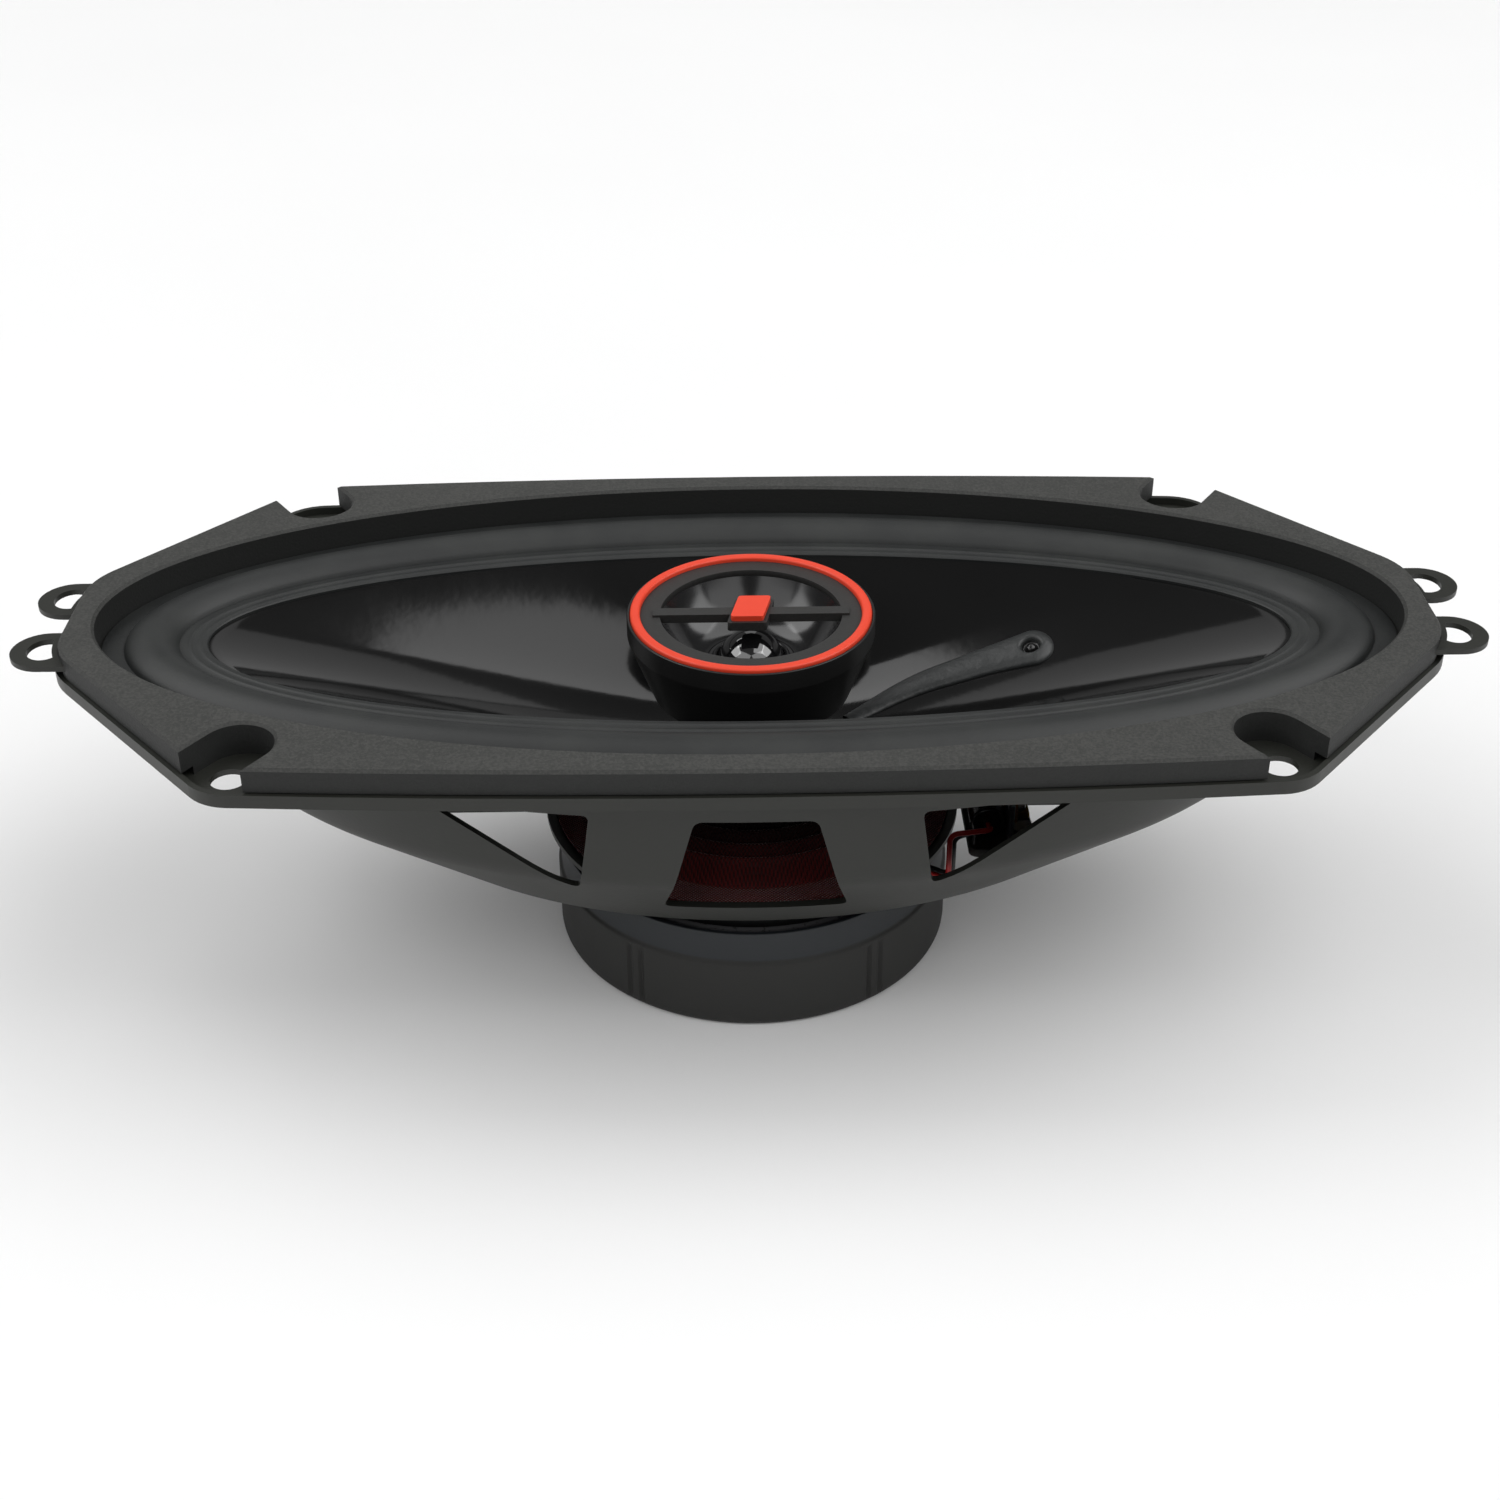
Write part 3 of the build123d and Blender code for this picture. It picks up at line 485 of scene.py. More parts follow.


def spider_cloth():
    cloth = Finish("spider_cloth", IOR=1.45, Sheen_Weight=0.3, Sheen_Roughness=0.4)
    parts = [cloth.node("ShaderNodeSeparateXYZ", {}, {0: cloth.place}, output=i) for i in range(2)]
    warp, weft = [(part * (2 * pi / THREAD)).sine() for part in parts]
    weave = cloth.band(warp * weft, -1.0, 1.0)
    resin = cloth.noise(size=0.008, detail=4)
    radius = cloth.node("ShaderNodeVectorMath", {"operation": "LENGTH"}, {0: cloth.stretched((1, 1, 0))}, 1)
    mask = cloth.band(weave * 0.5 + resin * 0.5, 0.25, 0.75)
    red = cloth.tint(mask, linear(58, 8, 8), linear(118, 20, 18))
    # Inside the red the cloth is painted dark, as painted shade toward the middle.
    cloth.feed(Base_Color=cloth.tint(cloth.band(radius, SHADE_R, RED_R), linear(20, 10, 9), red))
    cloth.feed(Roughness=cloth.spread(weave, 0.62, 0.8))
    cloth.relief(weave, depth=0.00014)


spider_cloth()
print("finishes", len(Finish.made))

# %% [markdown]
# Nearly every piece is a stack of rings. They could be turned with a Screw modifier, but that only makes
# circles, so one helper stretches quads between rings of any shape. Another rounds the corners of a profile
# with small curves, because no moulding or pressing has a true corner. Profiles are given in millimetres,
# as a drawing would give them.

# %% Rings and skins
AROUND = 144
SMOOTH_ANGLE = radians(32)
DOUBLED = 1e-7                    # points nearer than this are one point


def span(node):
    """Half length, half width, bottom and top of a node, in millimetres."""
    low, high = (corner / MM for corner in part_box(node))
    return (high.x - low.x) / 2, (high.y - low.y) / 2, low.z, high.z


def rounded(corners, reaches, steps=5):
    """A polyline whose inner corners are cut back by a reach each and bridged with a curve."""
    corners = [Vector(corner) for corner in corners]
    points = [corners[0]]
    for before, corner, after, reach in zip(corners, corners[1:], corners[2:], reaches):
        start = corner + (before - corner).normalized() * reach
        end = corner + (after - corner).normalized() * reach
        for step in range(steps + 1):
            t = step / steps
            points.append((1 - t) ** 2 * start + 2 * t * (1 - t) * corner + t * t * end)
    return points + [corners[-1]]


def divided(points, spacing):
    """A path with its stretches split to about the spacing, without its last point."""
    path = []
    for start, end in zip(points, points[1:]):
        steps = max(1, round((end - start).length / spacing))
        path += [start.lerp(end, step / steps) for step in range(steps)]
    return path


def oval(a, b, z, count=AROUND):
    return [(a * cos(2 * pi * i / count), b * sin(2 * pi * i / count), z) for i in range(count)]


def skin(name, rings, loop=False):
    """Quads between rings of points. A loop joins the last ring to the first."""
    count = len(rings[0])
    faces = []
    for level in range(len(rings) if loop else len(rings) - 1):
        low, high = level * count, (level + 1) % len(rings) * count
        faces += [(low + i, low + (i + 1) % count, high + (i + 1) % count, high + i) for i in range(count)]
    mesh = bpy.data.meshes.new(name)
    mesh.from_pydata([Vector(point) * MM for ring in rings for point in ring], [], faces)
    return tidy(add(name, mesh))


def tidy(piece):
    """Merges doubled points, points the normals outward and shades smooth up to an edge."""
    work = bmesh.new()
    work.from_mesh(piece.data)
    bmesh.ops.remove_doubles(work, verts=work.verts, dist=DOUBLED)
    bmesh.ops.recalc_face_normals(work, faces=work.faces)
    work.to_mesh(piece.data)
    work.free()
    piece.data.shade_smooth()
    piece.data.set_sharp_from_angle(angle=SMOOTH_ANGLE)
    return piece


def turned(name, profile, count=AROUND):
    """A closed profile of radius and height, turned about the speaker's axis."""
    return skin(name, [oval(point[0], point[0], point[1], count) for point in profile], loop=True)


def closed(corners, *reaches):
    """A closed profile with every corner rounded. It starts in the middle of its last side."""
    middle = (Vector(corners[0]) + Vector(corners[-1])) / 2
    reaches = reaches if len(reaches) > 1 else reaches * len(corners)
    return rounded([middle, *corners, middle], reaches)[:-1]


def place(piece, body, slot, *nodes, finish=None):
    """Gives a new piece the finish of its slot or the one named, attaches it to its body and hides the nodes
    that it stands in for.
    """
    piece.data.materials.clear()
    piece.data.materials.append(Finish.made[finish or slot].material)
    if body:
        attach(piece, body)
    if nodes:
        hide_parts(*nodes)
    print(piece.name, len(piece.data.vertices), "points")
    return piece


print("helpers ready,", AROUND, "points in a ring")

# %% [markdown]
# Openings are punched through the basket and the boot. Each could be left out of the mesh by hand, but a
# curved wall would need new points along every edge, so a prism is built from the opening's outline and cut
# away with a Boolean, much as a press tool does it.

# %% Outlines and punching
def prism(work, outline, low, high, upright=False):
    """Adds an outline extruded along Z, or along Y when upright, to a mesh in the making."""
    ends = []
    for level in (low, high):
        places = [(x, level, y) if upright else (x, y, level) for x, y in outline]
        ends.append([work.verts.new(Vector(point) * MM) for point in places])
    work.faces.new(ends[0])
    work.faces.new(ends[1][::-1])
    for i in range(len(outline)):
        j = (i + 1) % len(outline)
        work.faces.new((ends[0][i], ends[1][i], ends[1][j], ends[0][j]))


def flat_closed(corners, *reaches):
    """A rounded closed outline in a plane, with one reach or one for each corner."""
    return [(point.x, point.y) for point in closed([(*corner, 0) for corner in corners], *reaches)]


def punch(piece, work):
    """Cuts the mesh in the making out of a piece."""
    bmesh.ops.recalc_face_normals(work, faces=work.faces)
    mesh = bpy.data.meshes.new("punch")
    work.to_mesh(mesh)
    work.free()
    tool = add("punch", mesh)
    cut = piece.modifiers.new("cut", "BOOLEAN")
    cut.operation, cut.solver, cut.object = "DIFFERENCE", "EXACT", tool
    shape = piece.evaluated_get(bpy.context.evaluated_depsgraph_get())
    result = bpy.data.meshes.new_from_object(shape)
    piece.modifiers.clear()
    piece.data = result
    bpy.data.objects.remove(tool)
    return tidy(piece)


print("punch ready")

# %% [markdown]
# The basket is one pressing. Its flange is a flat plate whose shape is already right in the frame, and the
# bowl under it is an oval shell that folds once on its way down to a flat floor. The frame's own bowl is
# sharp at its folds and divided in three. Bevels would round it but leave the divisions, so one shell is
# built in its place, with curves at the fold and at the floor.

# %% Basket shell
HULL = ((113.5, 49.5), (91.0, 48.0), (63.5, 38.2))     # outer half axes at the top, the fold and the floor
HULL_Z = (-0.02, -19.5, -34.0)
HULL_WALL = (2.0, 1.2)                                 # the wall's thickness along X and along Y
SHEET, MOTOR_HOLE_R = 1.0, 15.0
FOLD_ROUND, FOOT_ROUND, FLOOR_ROUND = 4.0, 1.6, 1.2
COAT = 0.04                       # the shell covers the root of the flange's wall by this much
RING_SPACING = 4.0


def hull_rings():
    """The shell's section, down its outside to the motor's hole and back up its inside."""
    (top, fold, foot), (top_z, fold_z, foot_z) = HULL, HULL_Z
    outer = [(*[half + COAT for half in top], top_z), (*[half + COAT for half in fold], fold_z),
             (*foot, foot_z), (MOTOR_HOLE_R, MOTOR_HOLE_R, foot_z)]
    top, fold, foot = [[half - wall for half, wall in zip(axes, HULL_WALL)] for axes in HULL]
    inner = [(MOTOR_HOLE_R, MOTOR_HOLE_R, foot_z + SHEET), (*foot, foot_z + SHEET),
             (*fold, fold_z), (*top, top_z)]
    rings = []
    for path, reaches in ((outer, (FOLD_ROUND, FOOT_ROUND)), (inner, (FLOOR_ROUND, FOLD_ROUND))):
        soft = rounded(path, reaches)
        rings += divided(soft, RING_SPACING) + [soft[-1]]
    return [oval(*ring, 2 * AROUND) for ring in rings]


print("shell of", len(hull_rings()), "rings")

# %% [markdown]
# The bowl has one middle window and two side windows along each long side, four windows in its sloping ends
# and four in its floor. Those that mirror each other come from one outline and a change of sign.

# %% Basket windows
CENTRE_WINDOW = ((-10, -5.9), (10, -5.9), (15.6, -28.1), (-15.6, -28.1))
SIDE_WINDOW = ((27, -5.3), (54.5, -5.3), (29.5, -23.2))
SLOPE_WINDOW = ((68, 9), (84, 9), (82, 22), (68, 27))
CENTRE_ROUND, SIDE_ROUND, SLOPE_ROUND = 1.5, (1.4, 4.0, 2.4), 2.4
FLOOR_WINDOW = (58, 33)           # half axes of the floor windows' outer edge
MOTOR_SEAT_R, ARM_HALF = 38.3, 3.8
WINDOW_EDGE, WINDOW_STEPS = radians(40), 12
LONG_SIDES = ((-60, -30), (30, 60))
SLOPE_CUT, FLOOR_CUT = (-36, -15), (-36, -31)
QUARTERS = [(side_x, side_y) for side_x in (1, -1) for side_y in (1, -1)]


def upright_outlines():
    """The windows of a long side, seen from the front."""
    outlines = [flat_closed(CENTRE_WINDOW, CENTRE_ROUND)]
    for side in (1, -1):
        outlines.append(flat_closed([(side * x, z) for x, z in SIDE_WINDOW], *SIDE_ROUND))
    return outlines


def floor_outline(side_x, side_y):
    """The opening in the floor between the motor, the arm and the wall."""
    long_axis, short_axis = FLOOR_WINDOW
    first, last = asin(ARM_HALF / MOTOR_SEAT_R), asin(ARM_HALF / short_axis)
    far = pi / 2 - asin(MOTOR_SEAT_R * cos(WINDOW_EDGE) / long_axis)
    outline = []
    for start, end, a, b in ((first, WINDOW_EDGE, MOTOR_SEAT_R, MOTOR_SEAT_R),
                             (far, last, long_axis, short_axis)):
        angles = [start + (end - start) * i / WINDOW_STEPS for i in range(WINDOW_STEPS + 1)]
        outline += [(side_x * a * cos(t), side_y * b * sin(t)) for t in angles]
    return outline


def basket_bowl():
    bowl = skin("basket_bowl", hull_rings(), loop=True)
    tool = bmesh.new()
    for outline in upright_outlines():
        for low, high in LONG_SIDES:
            prism(tool, outline, low, high, upright=True)
    for side_x, side_y in QUARTERS:
        slope = [(side_x * x, side_y * y) for x, y in SLOPE_WINDOW]
        prism(tool, flat_closed(slope, SLOPE_ROUND), *SLOPE_CUT)
    for side_x, side_y in QUARTERS:
        prism(tool, floor_outline(side_x, side_y), *FLOOR_CUT)
    return punch(bowl, tool)


BOWL_NODES = ("basket_upper_wall", "basket_lower_wall", "basket_floor")
place(basket_bowl(), "frame", "basket_steel", *BOWL_NODES)

# %% [markdown]
# The surround is a rubber half roll that lets the cone move. Its outer land is glued to the basket and its
# inner land to the cone, so the inside must travel while the outside stays. Its own share of the motion
# grows along one straight line, which doesn't suit an oval, so each point's share is worked out from its
# place across the roll, though it is not applied.

# %% Surround
ROLL_OUT, ROLL_IN = (111.2, 44.2), (101.5, 34.8)
LAND_IN = (96.5, 30.1)
RUBBER, ROLL_HEIGHT, ROLL_STEPS = 0.6, 2.6, 32
CREST_FULL, UNDER_FULL = 0.62, 0.9            # the smaller, the squarer the roll
UNDER_SHARE = 0.98                            # the underside rises by this much of the crest's height
SEARCH_RANGE, HALVINGS = (-0.5, 1.5), 24      # the search for a place between two ovals
RIM_ROUND, LAND_ROUND = 0.15, 0.2
RIBS = ((1.14, 0.1, 0.16, 8), (1.34, 0.09, 0.12, 6))   # start and width as parts of the roll, height, steps


def across_roll(part):
    """Half axes at a part of the way from the roll's outer foot to its inner foot."""
    return tuple(o + part * (i - o) for o, i in zip(ROLL_OUT, ROLL_IN))


def roll_lift(part, fullness):
    """Height of the roll above its land."""
    return ROLL_HEIGHT * max(0.0, sin(pi * min(1, max(0, part)))) ** fullness


def follow(piece, share):
    """Bakes a piece's transform and works out each point's share of the far body's motion; the shares are not
    applied.
    """
    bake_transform(piece)
    weights = [min(1.0, max(0.0, share(point.co / MM))) for point in piece.data.vertices]


def ease(part):
    part = min(1.0, max(0.0, part))
    return part * part * (3 - 2 * part)


def oval_part(x, y, outer, inner):
    """How far a place lies from an outer oval to an inner one: 0 on the outer, 1 on the inner."""
    low, high = SEARCH_RANGE
    for _ in range(HALVINGS):
        part = (low + high) / 2
        a, b = (o + part * (i - o) for o, i in zip(outer, inner))
        low, high = (part, high) if (x / a) ** 2 + (y / b) ** 2 < 1 else (low, part)
    return low


def surround():
    half_a, half_b, bottom, _ = span("surround")
    top = bottom + RUBBER
    upper = [(half_a, half_b, bottom), (half_a, half_b, top - RIM_ROUND),
             (half_a - RIM_ROUND, half_b - RIM_ROUND, top)]
    roll_parts = [step / ROLL_STEPS for step in range(-1, ROLL_STEPS + 2)]
    upper += [(*across_roll(part), top + roll_lift(part, CREST_FULL)) for part in roll_parts]
    for start, width, height, steps in RIBS:
        for step in range(steps + 1):
            part = start + width * step / steps
            upper.append((*across_roll(part), top + height * sin(pi * step / steps)))
    upper += [(*[half + LAND_ROUND for half in LAND_IN], top),
              (*LAND_IN, top - LAND_ROUND), (*LAND_IN, bottom)]
    under = [(*across_roll(part), bottom + UNDER_SHARE * roll_lift(part, UNDER_FULL))
             for part in reversed(roll_parts)]
    return skin("surround_roll", [oval(*ring, 2 * AROUND) for ring in upper + under], loop=True)


roll = place(surround(), None, "surround_rubber", "surround")
follow(roll, lambda p: ease(oval_part(p.x, p.y, ROLL_OUT, ROLL_IN)))

# %% [markdown]
# The cone is a thin moulding whose rim is an oval and whose throat is a circle. Two rings and straight lines
# would give its outline, but the surface between them twists slightly, and long thin quads would crease its
# reflections, so there are many rings between rim and throat.

# %% Cone
THROAT_R, THROAT_Z = 12.8, -19.0
CONE_TOP, CONE_WALL = 1.0, 0.9
CONE_RINGS = 40


def cone_ring(step, wall):
    """The ring at a step from throat to rim, with the wall's thickness added outward and downward."""
    part = step / CONE_RINGS
    a, b = (THROAT_R + part * (edge - THROAT_R) + wall for edge in LAND_IN)
    return a, b, THROAT_Z + part * (CONE_TOP - THROAT_Z) - wall


def cone():
    half_a, half_b, _, _ = span("cone")
    rings = [(THROAT_R, THROAT_R, THROAT_Z - CONE_WALL)]
    rings += [cone_ring(step, 0.0) for step in range(CONE_RINGS + 1)]
    rings += [(half_a, half_b, CONE_TOP), (half_a, half_b, CONE_TOP - CONE_WALL)]
    rings += [cone_ring(step, CONE_WALL) for step in range(CONE_RINGS, -1, -1)]
    return skin("cone_body", [oval(*ring, 2 * AROUND) for ring in rings], loop=True)


place(cone(), "cone", "cone_polymer", "cone")

# %% [markdown]
# The coil's lead wires cross the cone under a run of adhesive and pass through it at an eyelet. The adhesive
# is a low rounded ridge, thin at the throat and wide at the eyelet, where it leaves a small pit with a drop
# in it. A bevelled curve would give a round bead, but not the pit, and it wouldn't lie on the cone. So the
# ridge is a grid of points, each lifted along the normal of the cone's face.

# %% Heights on the cone
LEAD_ROUTE = ((52.0, 9.5, 3.9), (45.0, 9.0, 3.1), (29.0, 6.7, 2.4), (17.5, 0.6, 1.5))    # X, Y, half width
PIT_R, PIT_DEPTH = 1.9, 1.5
DROP_R, DROP_HEIGHT = 1.0, 1.0
SLOPE_STEP = 0.2                  # distance over which the face's slope is measured


def cone_height(x, y):
    """Height of the cone's face over a place."""
    part = 1 - oval_part(x, y, LAND_IN, (THROAT_R, THROAT_R))
    return THROAT_Z + part * (CONE_TOP - THROAT_Z)


def on_cone(x, y, lift):
    """The place lifted from the face along its normal."""
    step = SLOPE_STEP
    slope_x = (cone_height(x + step, y) - cone_height(x - step, y)) / (2 * step)
    slope_y = (cone_height(x, y + step) - cone_height(x, y - step)) / (2 * step)
    normal = Vector((-slope_x, -slope_y, 1)).normalized()
    return Vector((x, y, cone_height(x, y))) + lift * normal


def bead_height(place_on, centre, dome):
    """Lift at a place: the rounded ridge, less the pit, plus the drop in it."""
    away = hypot(place_on.x - centre.x, place_on.y - centre.y)
    pit = PIT_DEPTH * (1 - ease((away - 0.75 * PIT_R) / (0.4 * PIT_R)))
    drop = DROP_HEIGHT * sqrt(max(0.0, 1 - (away / DROP_R) ** 2))
    return dome - min(pit, dome) + drop


print("eyelet at", [round(v, 2) for v in on_cone(*LEAD_ROUTE[0][:2], 0)])

# %% [markdown]
# The ridge's middle line is divided finely, so that the pit is round, and gets a round cap beyond the
# eyelet. Each place on it becomes a row of points across, closer together at the sides, where the ridge is
# steep. The rows make an open sheet, and a Solidify modifier gives it a body.

# %% Adhesive ridge
SPINE_SPACING, ROUTE_ROUND, ROUTE_STEPS = 0.2, (4.0, 6.0), 10
CAP_STEPS, BEAD_ACROSS = 16, 48
CAP_TIP = 0.01                    # the cap narrows to this, so that its last row isn't a point
BEAD_FLATNESS, BEAD_SINK, BEAD_BODY = 0.4, -0.05, 0.0002


def lead_spine():
    """Centres and half widths along the lead, from the cap's tip to the throat."""
    dense = divided(rounded(LEAD_ROUTE, ROUTE_ROUND, ROUTE_STEPS), SPINE_SPACING)
    first, big = dense[0].to_2d(), dense[0].z
    heading = (dense[0] - dense[3]).to_2d().normalized()
    cap = []
    for step in range(CAP_STEPS, 0, -1):
        out = big * sin(pi / 2 * step / CAP_STEPS)
        cap.append((first + heading * out, sqrt(max(0.0, big * big - out * out)) + CAP_TIP))
    return first, cap + [(point.to_2d(), point.z) for point in dense]


def bead_row(centre, half, side, pit_centre):
    """The points across the ridge at one place along it."""
    row = []
    for j in range(BEAD_ACROSS + 1):
        v = -cos(pi * j / BEAD_ACROSS)
        spot = centre + side * half * v
        dome = BEAD_FLATNESS * half * sqrt(max(0.0, 1 - v * v))
        lift = bead_height(spot, pit_centre, dome) if abs(v) < 1 else BEAD_SINK
        row.append(on_cone(spot.x, spot.y, lift))
    return row


def lead_bead():
    pit_centre, spine = lead_spine()
    rows = []
    for i, (centre, half) in enumerate(spine):
        ahead, behind = spine[min(i + 1, len(spine) - 1)][0], spine[max(i - 1, 0)][0]
        rows.append(bead_row(centre, half, (ahead - behind).orthogonal().normalized(), pit_centre))
    count = BEAD_ACROSS + 1
    corners = [i * count + j for i in range(len(rows) - 1) for j in range(BEAD_ACROSS)]
    faces = [(a, a + 1, a + count + 1, a + count) for a in corners]
    mesh = bpy.data.meshes.new("lead_bead")
    mesh.from_pydata([point * MM for row in rows for point in row], [], faces)
    piece = add("lead_bead", mesh)
    thick = piece.modifiers.new("body", "SOLIDIFY")
    thick.thickness, thick.offset = BEAD_BODY, -1
    mesh.shade_smooth()
    return piece


place(lead_bead(), "cone", "lead_adhesive", "cone_lead_bead")

# %% [markdown]
# The eyelet is a small turned tube whose lip holds it behind the cone. Only its mouth would show, but it is
# made whole, because the braided leads end on its lip.

# %% Eyelet
EYELET_BORE, EYELET_BARREL, EYELET_FLANGE = 0.6, 1.1, 1.7
EYELET_Z = (-3.2, -2.7, 0.4)
EYELET_ROUND, EYELET_AROUND = 0.12, 48


def eyelet():
    low, lip, top = EYELET_Z
    profile = closed([
        (EYELET_BORE, low), (EYELET_FLANGE, low), (EYELET_FLANGE, lip), (EYELET_BARREL, lip),
        (EYELET_BARREL, top), (EYELET_BORE, top),
    ], EYELET_ROUND)
    piece = turned("lead_eyelet", profile, EYELET_AROUND)
    x, y, _ = LEAD_ROUTE[0]
    piece.data.transform(Matrix.Translation(Vector((x, y, cone_height(x, y))) * MM))
    return piece


place(eyelet(), "cone", "plated_brass", "cone_eyelet")

# %% [markdown]
# The tweeter's housing is a tapered bowl on a boss, and an orange ring is pressed into its rim. Both are
# turned shapes, so each is one profile. The ring stands a little above the housing, and both have rounded
# corners, which leaves a fine lit line between them.

# %% Tweeter housing and ring
RIM_R, RIM_TOP, WAIST_Z = 22.1, 5.7, 2.0
BASE_R, BASE_Z = 17.8, -9.5
BOSS_R, BOSS_BORE, BOSS_Z, POST_BORE = 10.6, 7.6, -34.0, 2.5
HOUSING_WALL, HOUSING_ROUND = 1.2, 0.22
RING_IN, RING_OUT, RING_SEAT_R = 19.72, 21.5, 21.55
RING_LOW, RING_HIGH, RING_ROUND = 3.5, 6.3, 0.5


def housing():
    wall = HOUSING_WALL
    clear_of_pit_shade = [(POST_BORE, BOSS_Z), (BOSS_R, BOSS_Z), (BOSS_R, BASE_Z), (BASE_R, BASE_Z),
               (RIM_R, WAIST_Z), (RIM_R, RIM_TOP)]
    inside = [(RING_SEAT_R, RIM_TOP), (RING_SEAT_R, RING_LOW), (RIM_R - wall, WAIST_Z),
              (BASE_R - wall, BASE_Z + wall), (BOSS_BORE, BASE_Z + wall), (BOSS_BORE, BOSS_Z + wall),
              (POST_BORE, BOSS_Z + wall)]
    return turned("tweeter_bowl", closed(clear_of_pit_shade + inside, HOUSING_ROUND))


def accent_ring():
    corners = [(RING_IN, RING_LOW), (RING_OUT, RING_LOW), (RING_OUT, RING_HIGH), (RING_IN, RING_HIGH)]
    return turned("accent_trim", closed(corners, RING_ROUND))


place(housing(), "frame", "tweeter_plastic", "tweeter_housing")
place(accent_ring(), "frame", "accent_polymer", "accent_ring")

# %% [markdown]
# The horn is a short flare round the dome. A straight cone would reflect one flat band, so its face is a
# parabola, and its back follows it at the wall's thickness out to a land under the faceplate.

# %% Tweeter horn
HORN_THROAT_R, HORN_THROAT_Z = 7.9, -3.6
HORN_REACH, HORN_RISE, HORN_STEPS = 8.3, 7.9, 12
HORN_BACK = (0.85, -0.9)
HORN_LAND = ((18.7, 4.28), (18.7, 3.4))
HORN_FOOT = ((8.8, -3.9), (7.9, -3.9))


def horn():
    parts = [i / HORN_STEPS for i in range(HORN_STEPS + 1)]
    face = [(HORN_THROAT_R + HORN_REACH * part, HORN_THROAT_Z + HORN_RISE * part ** 2) for part in parts]
    back = [(r + HORN_BACK[0], z + HORN_BACK[1]) for r, z in reversed(face[1:])]
    return turned("tweeter_horn", [*face, *HORN_LAND, *back, *HORN_FOOT])


place(horn(), "frame", "tweeter_gloss", "tweeter_waveguide")

# %% [markdown]
# The dome is part of a ball, and a small half roll joins it to the horn. A cut sphere would need its edge
# mended, so the ball's radius is worked out from the dome's foot and height, and both pieces are turned.
# The roll's shares of the motion are worked out like the surround's.

# %% Dome and edge
DOME_R, DOME_FOOT, DOME_APEX = 6.0, -3.9, 1.4
DOME_STEPS, DOME_AROUND = 24, 96
DOME_TIP = 0.0005                 # radius of the ring at the apex, which merges into one point
DOME_INSIDE = (0.94, -0.33)       # the inner face is this much narrower and lower
EDGE_MIDDLE, ARC_STEPS = 6.6, 12
EDGE_CREST, EDGE_UNDER = (0.5, -3.62, 0.6), (0.4, -3.85, 0.55)   # half width, foot and height of each roll
EDGE_START = [(6.0, -3.65), (6.12, -3.55)]
CLAMPED_R = 7.1                   # outside this radius the edge is held by the horn
EDGE_LAND = [(7.3, -3.66), (7.78, -3.66), (7.78, -3.98), (CLAMPED_R, -3.98)]
EDGE_END = [(6.0, -3.85)]


def dome():
    tall = DOME_APEX - DOME_FOOT
    ball = (DOME_R ** 2 + tall ** 2) / (2 * tall)
    reach = atan2(DOME_R, ball - tall)
    angles = [reach * i / DOME_STEPS for i in range(DOME_STEPS, -1, -1)]
    outer = [(max(ball * sin(t), DOME_TIP), DOME_APEX - ball + ball * cos(t)) for t in angles]
    narrower, lower = DOME_INSIDE
    inner = [(r * narrower, z + lower) for r, z in reversed(outer)]
    return turned("tweeter_cap", outer + inner, DOME_AROUND)


def edge_roll(half_width, foot, height):
    angles = [pi * i / ARC_STEPS for i in range(ARC_STEPS + 1)]
    return [(EDGE_MIDDLE + half_width * cos(t), foot + height * sin(t)) for t in angles]


def dome_edge():
    crest = [(2 * EDGE_MIDDLE - r, z) for r, z in edge_roll(*EDGE_CREST)]
    profile = EDGE_START + crest + EDGE_LAND + edge_roll(*EDGE_UNDER) + EDGE_END
    return turned("tweeter_edge", profile, DOME_AROUND)


place(dome(), "tweeter_diaphragm", "tweeter_gloss", "tweeter_dome", finish="dome_film")
edge = place(dome_edge(), None, "tweeter_gloss", "tweeter_dome_edge")
follow(edge, lambda p: ease(CLAMPED_R - hypot(p.x, p.y)))

# %% [markdown]
# The spider keeps the coil centred. It is a cloth disc pressed into rings of waves, glued down at its rim
# and raised at its middle, where it is glued to the coil's former. A displaced disc would need a very fine
# grid, but the waves are round, so one turned profile is enough. Its shares of the motion are worked out
# like the surround's.

# %% Spider
SPIDER_RIM, SPIDER_FOOT, SPIDER_BORE = 36.5, 31.0, 13.1
CLOTH, CLOTH_TOP = 0.5, 0.65
SPIDER_RISE, WAVE_HEIGHT, WAVE_PITCH = 4.3, 0.85, 4.15
WAVES_FROM, WAVES_FADE, RISE_REACH, FADE_REACH = 30.0, 30.2, 1.6, 1.5
SPIDER_STEPS = 120
COIL_SHARE_R = 14.0               # inside this radius the cloth moves fully with the coil


def spider_top(radius):
    """Height of the cloth's upper face."""
    _, _, bottom, _ = span("spider")
    rise = SPIDER_RISE * ease((SPIDER_FOOT - radius) / RISE_REACH)
    waved = ease((WAVES_FADE - radius) / FADE_REACH) * ease((radius - SPIDER_BORE) / FADE_REACH)
    wave = WAVE_HEIGHT * sin(2 * pi * (WAVES_FROM - radius) / WAVE_PITCH)
    return bottom + CLOTH_TOP + rise + wave * waved


def spider():
    radii = [SPIDER_RIM + (SPIDER_BORE - SPIDER_RIM) * i / SPIDER_STEPS for i in range(SPIDER_STEPS + 1)]
    top = [(r, spider_top(r)) for r in radii]
    return turned("spider_disc", top + [(r, z - CLOTH) for r, z in reversed(top)])


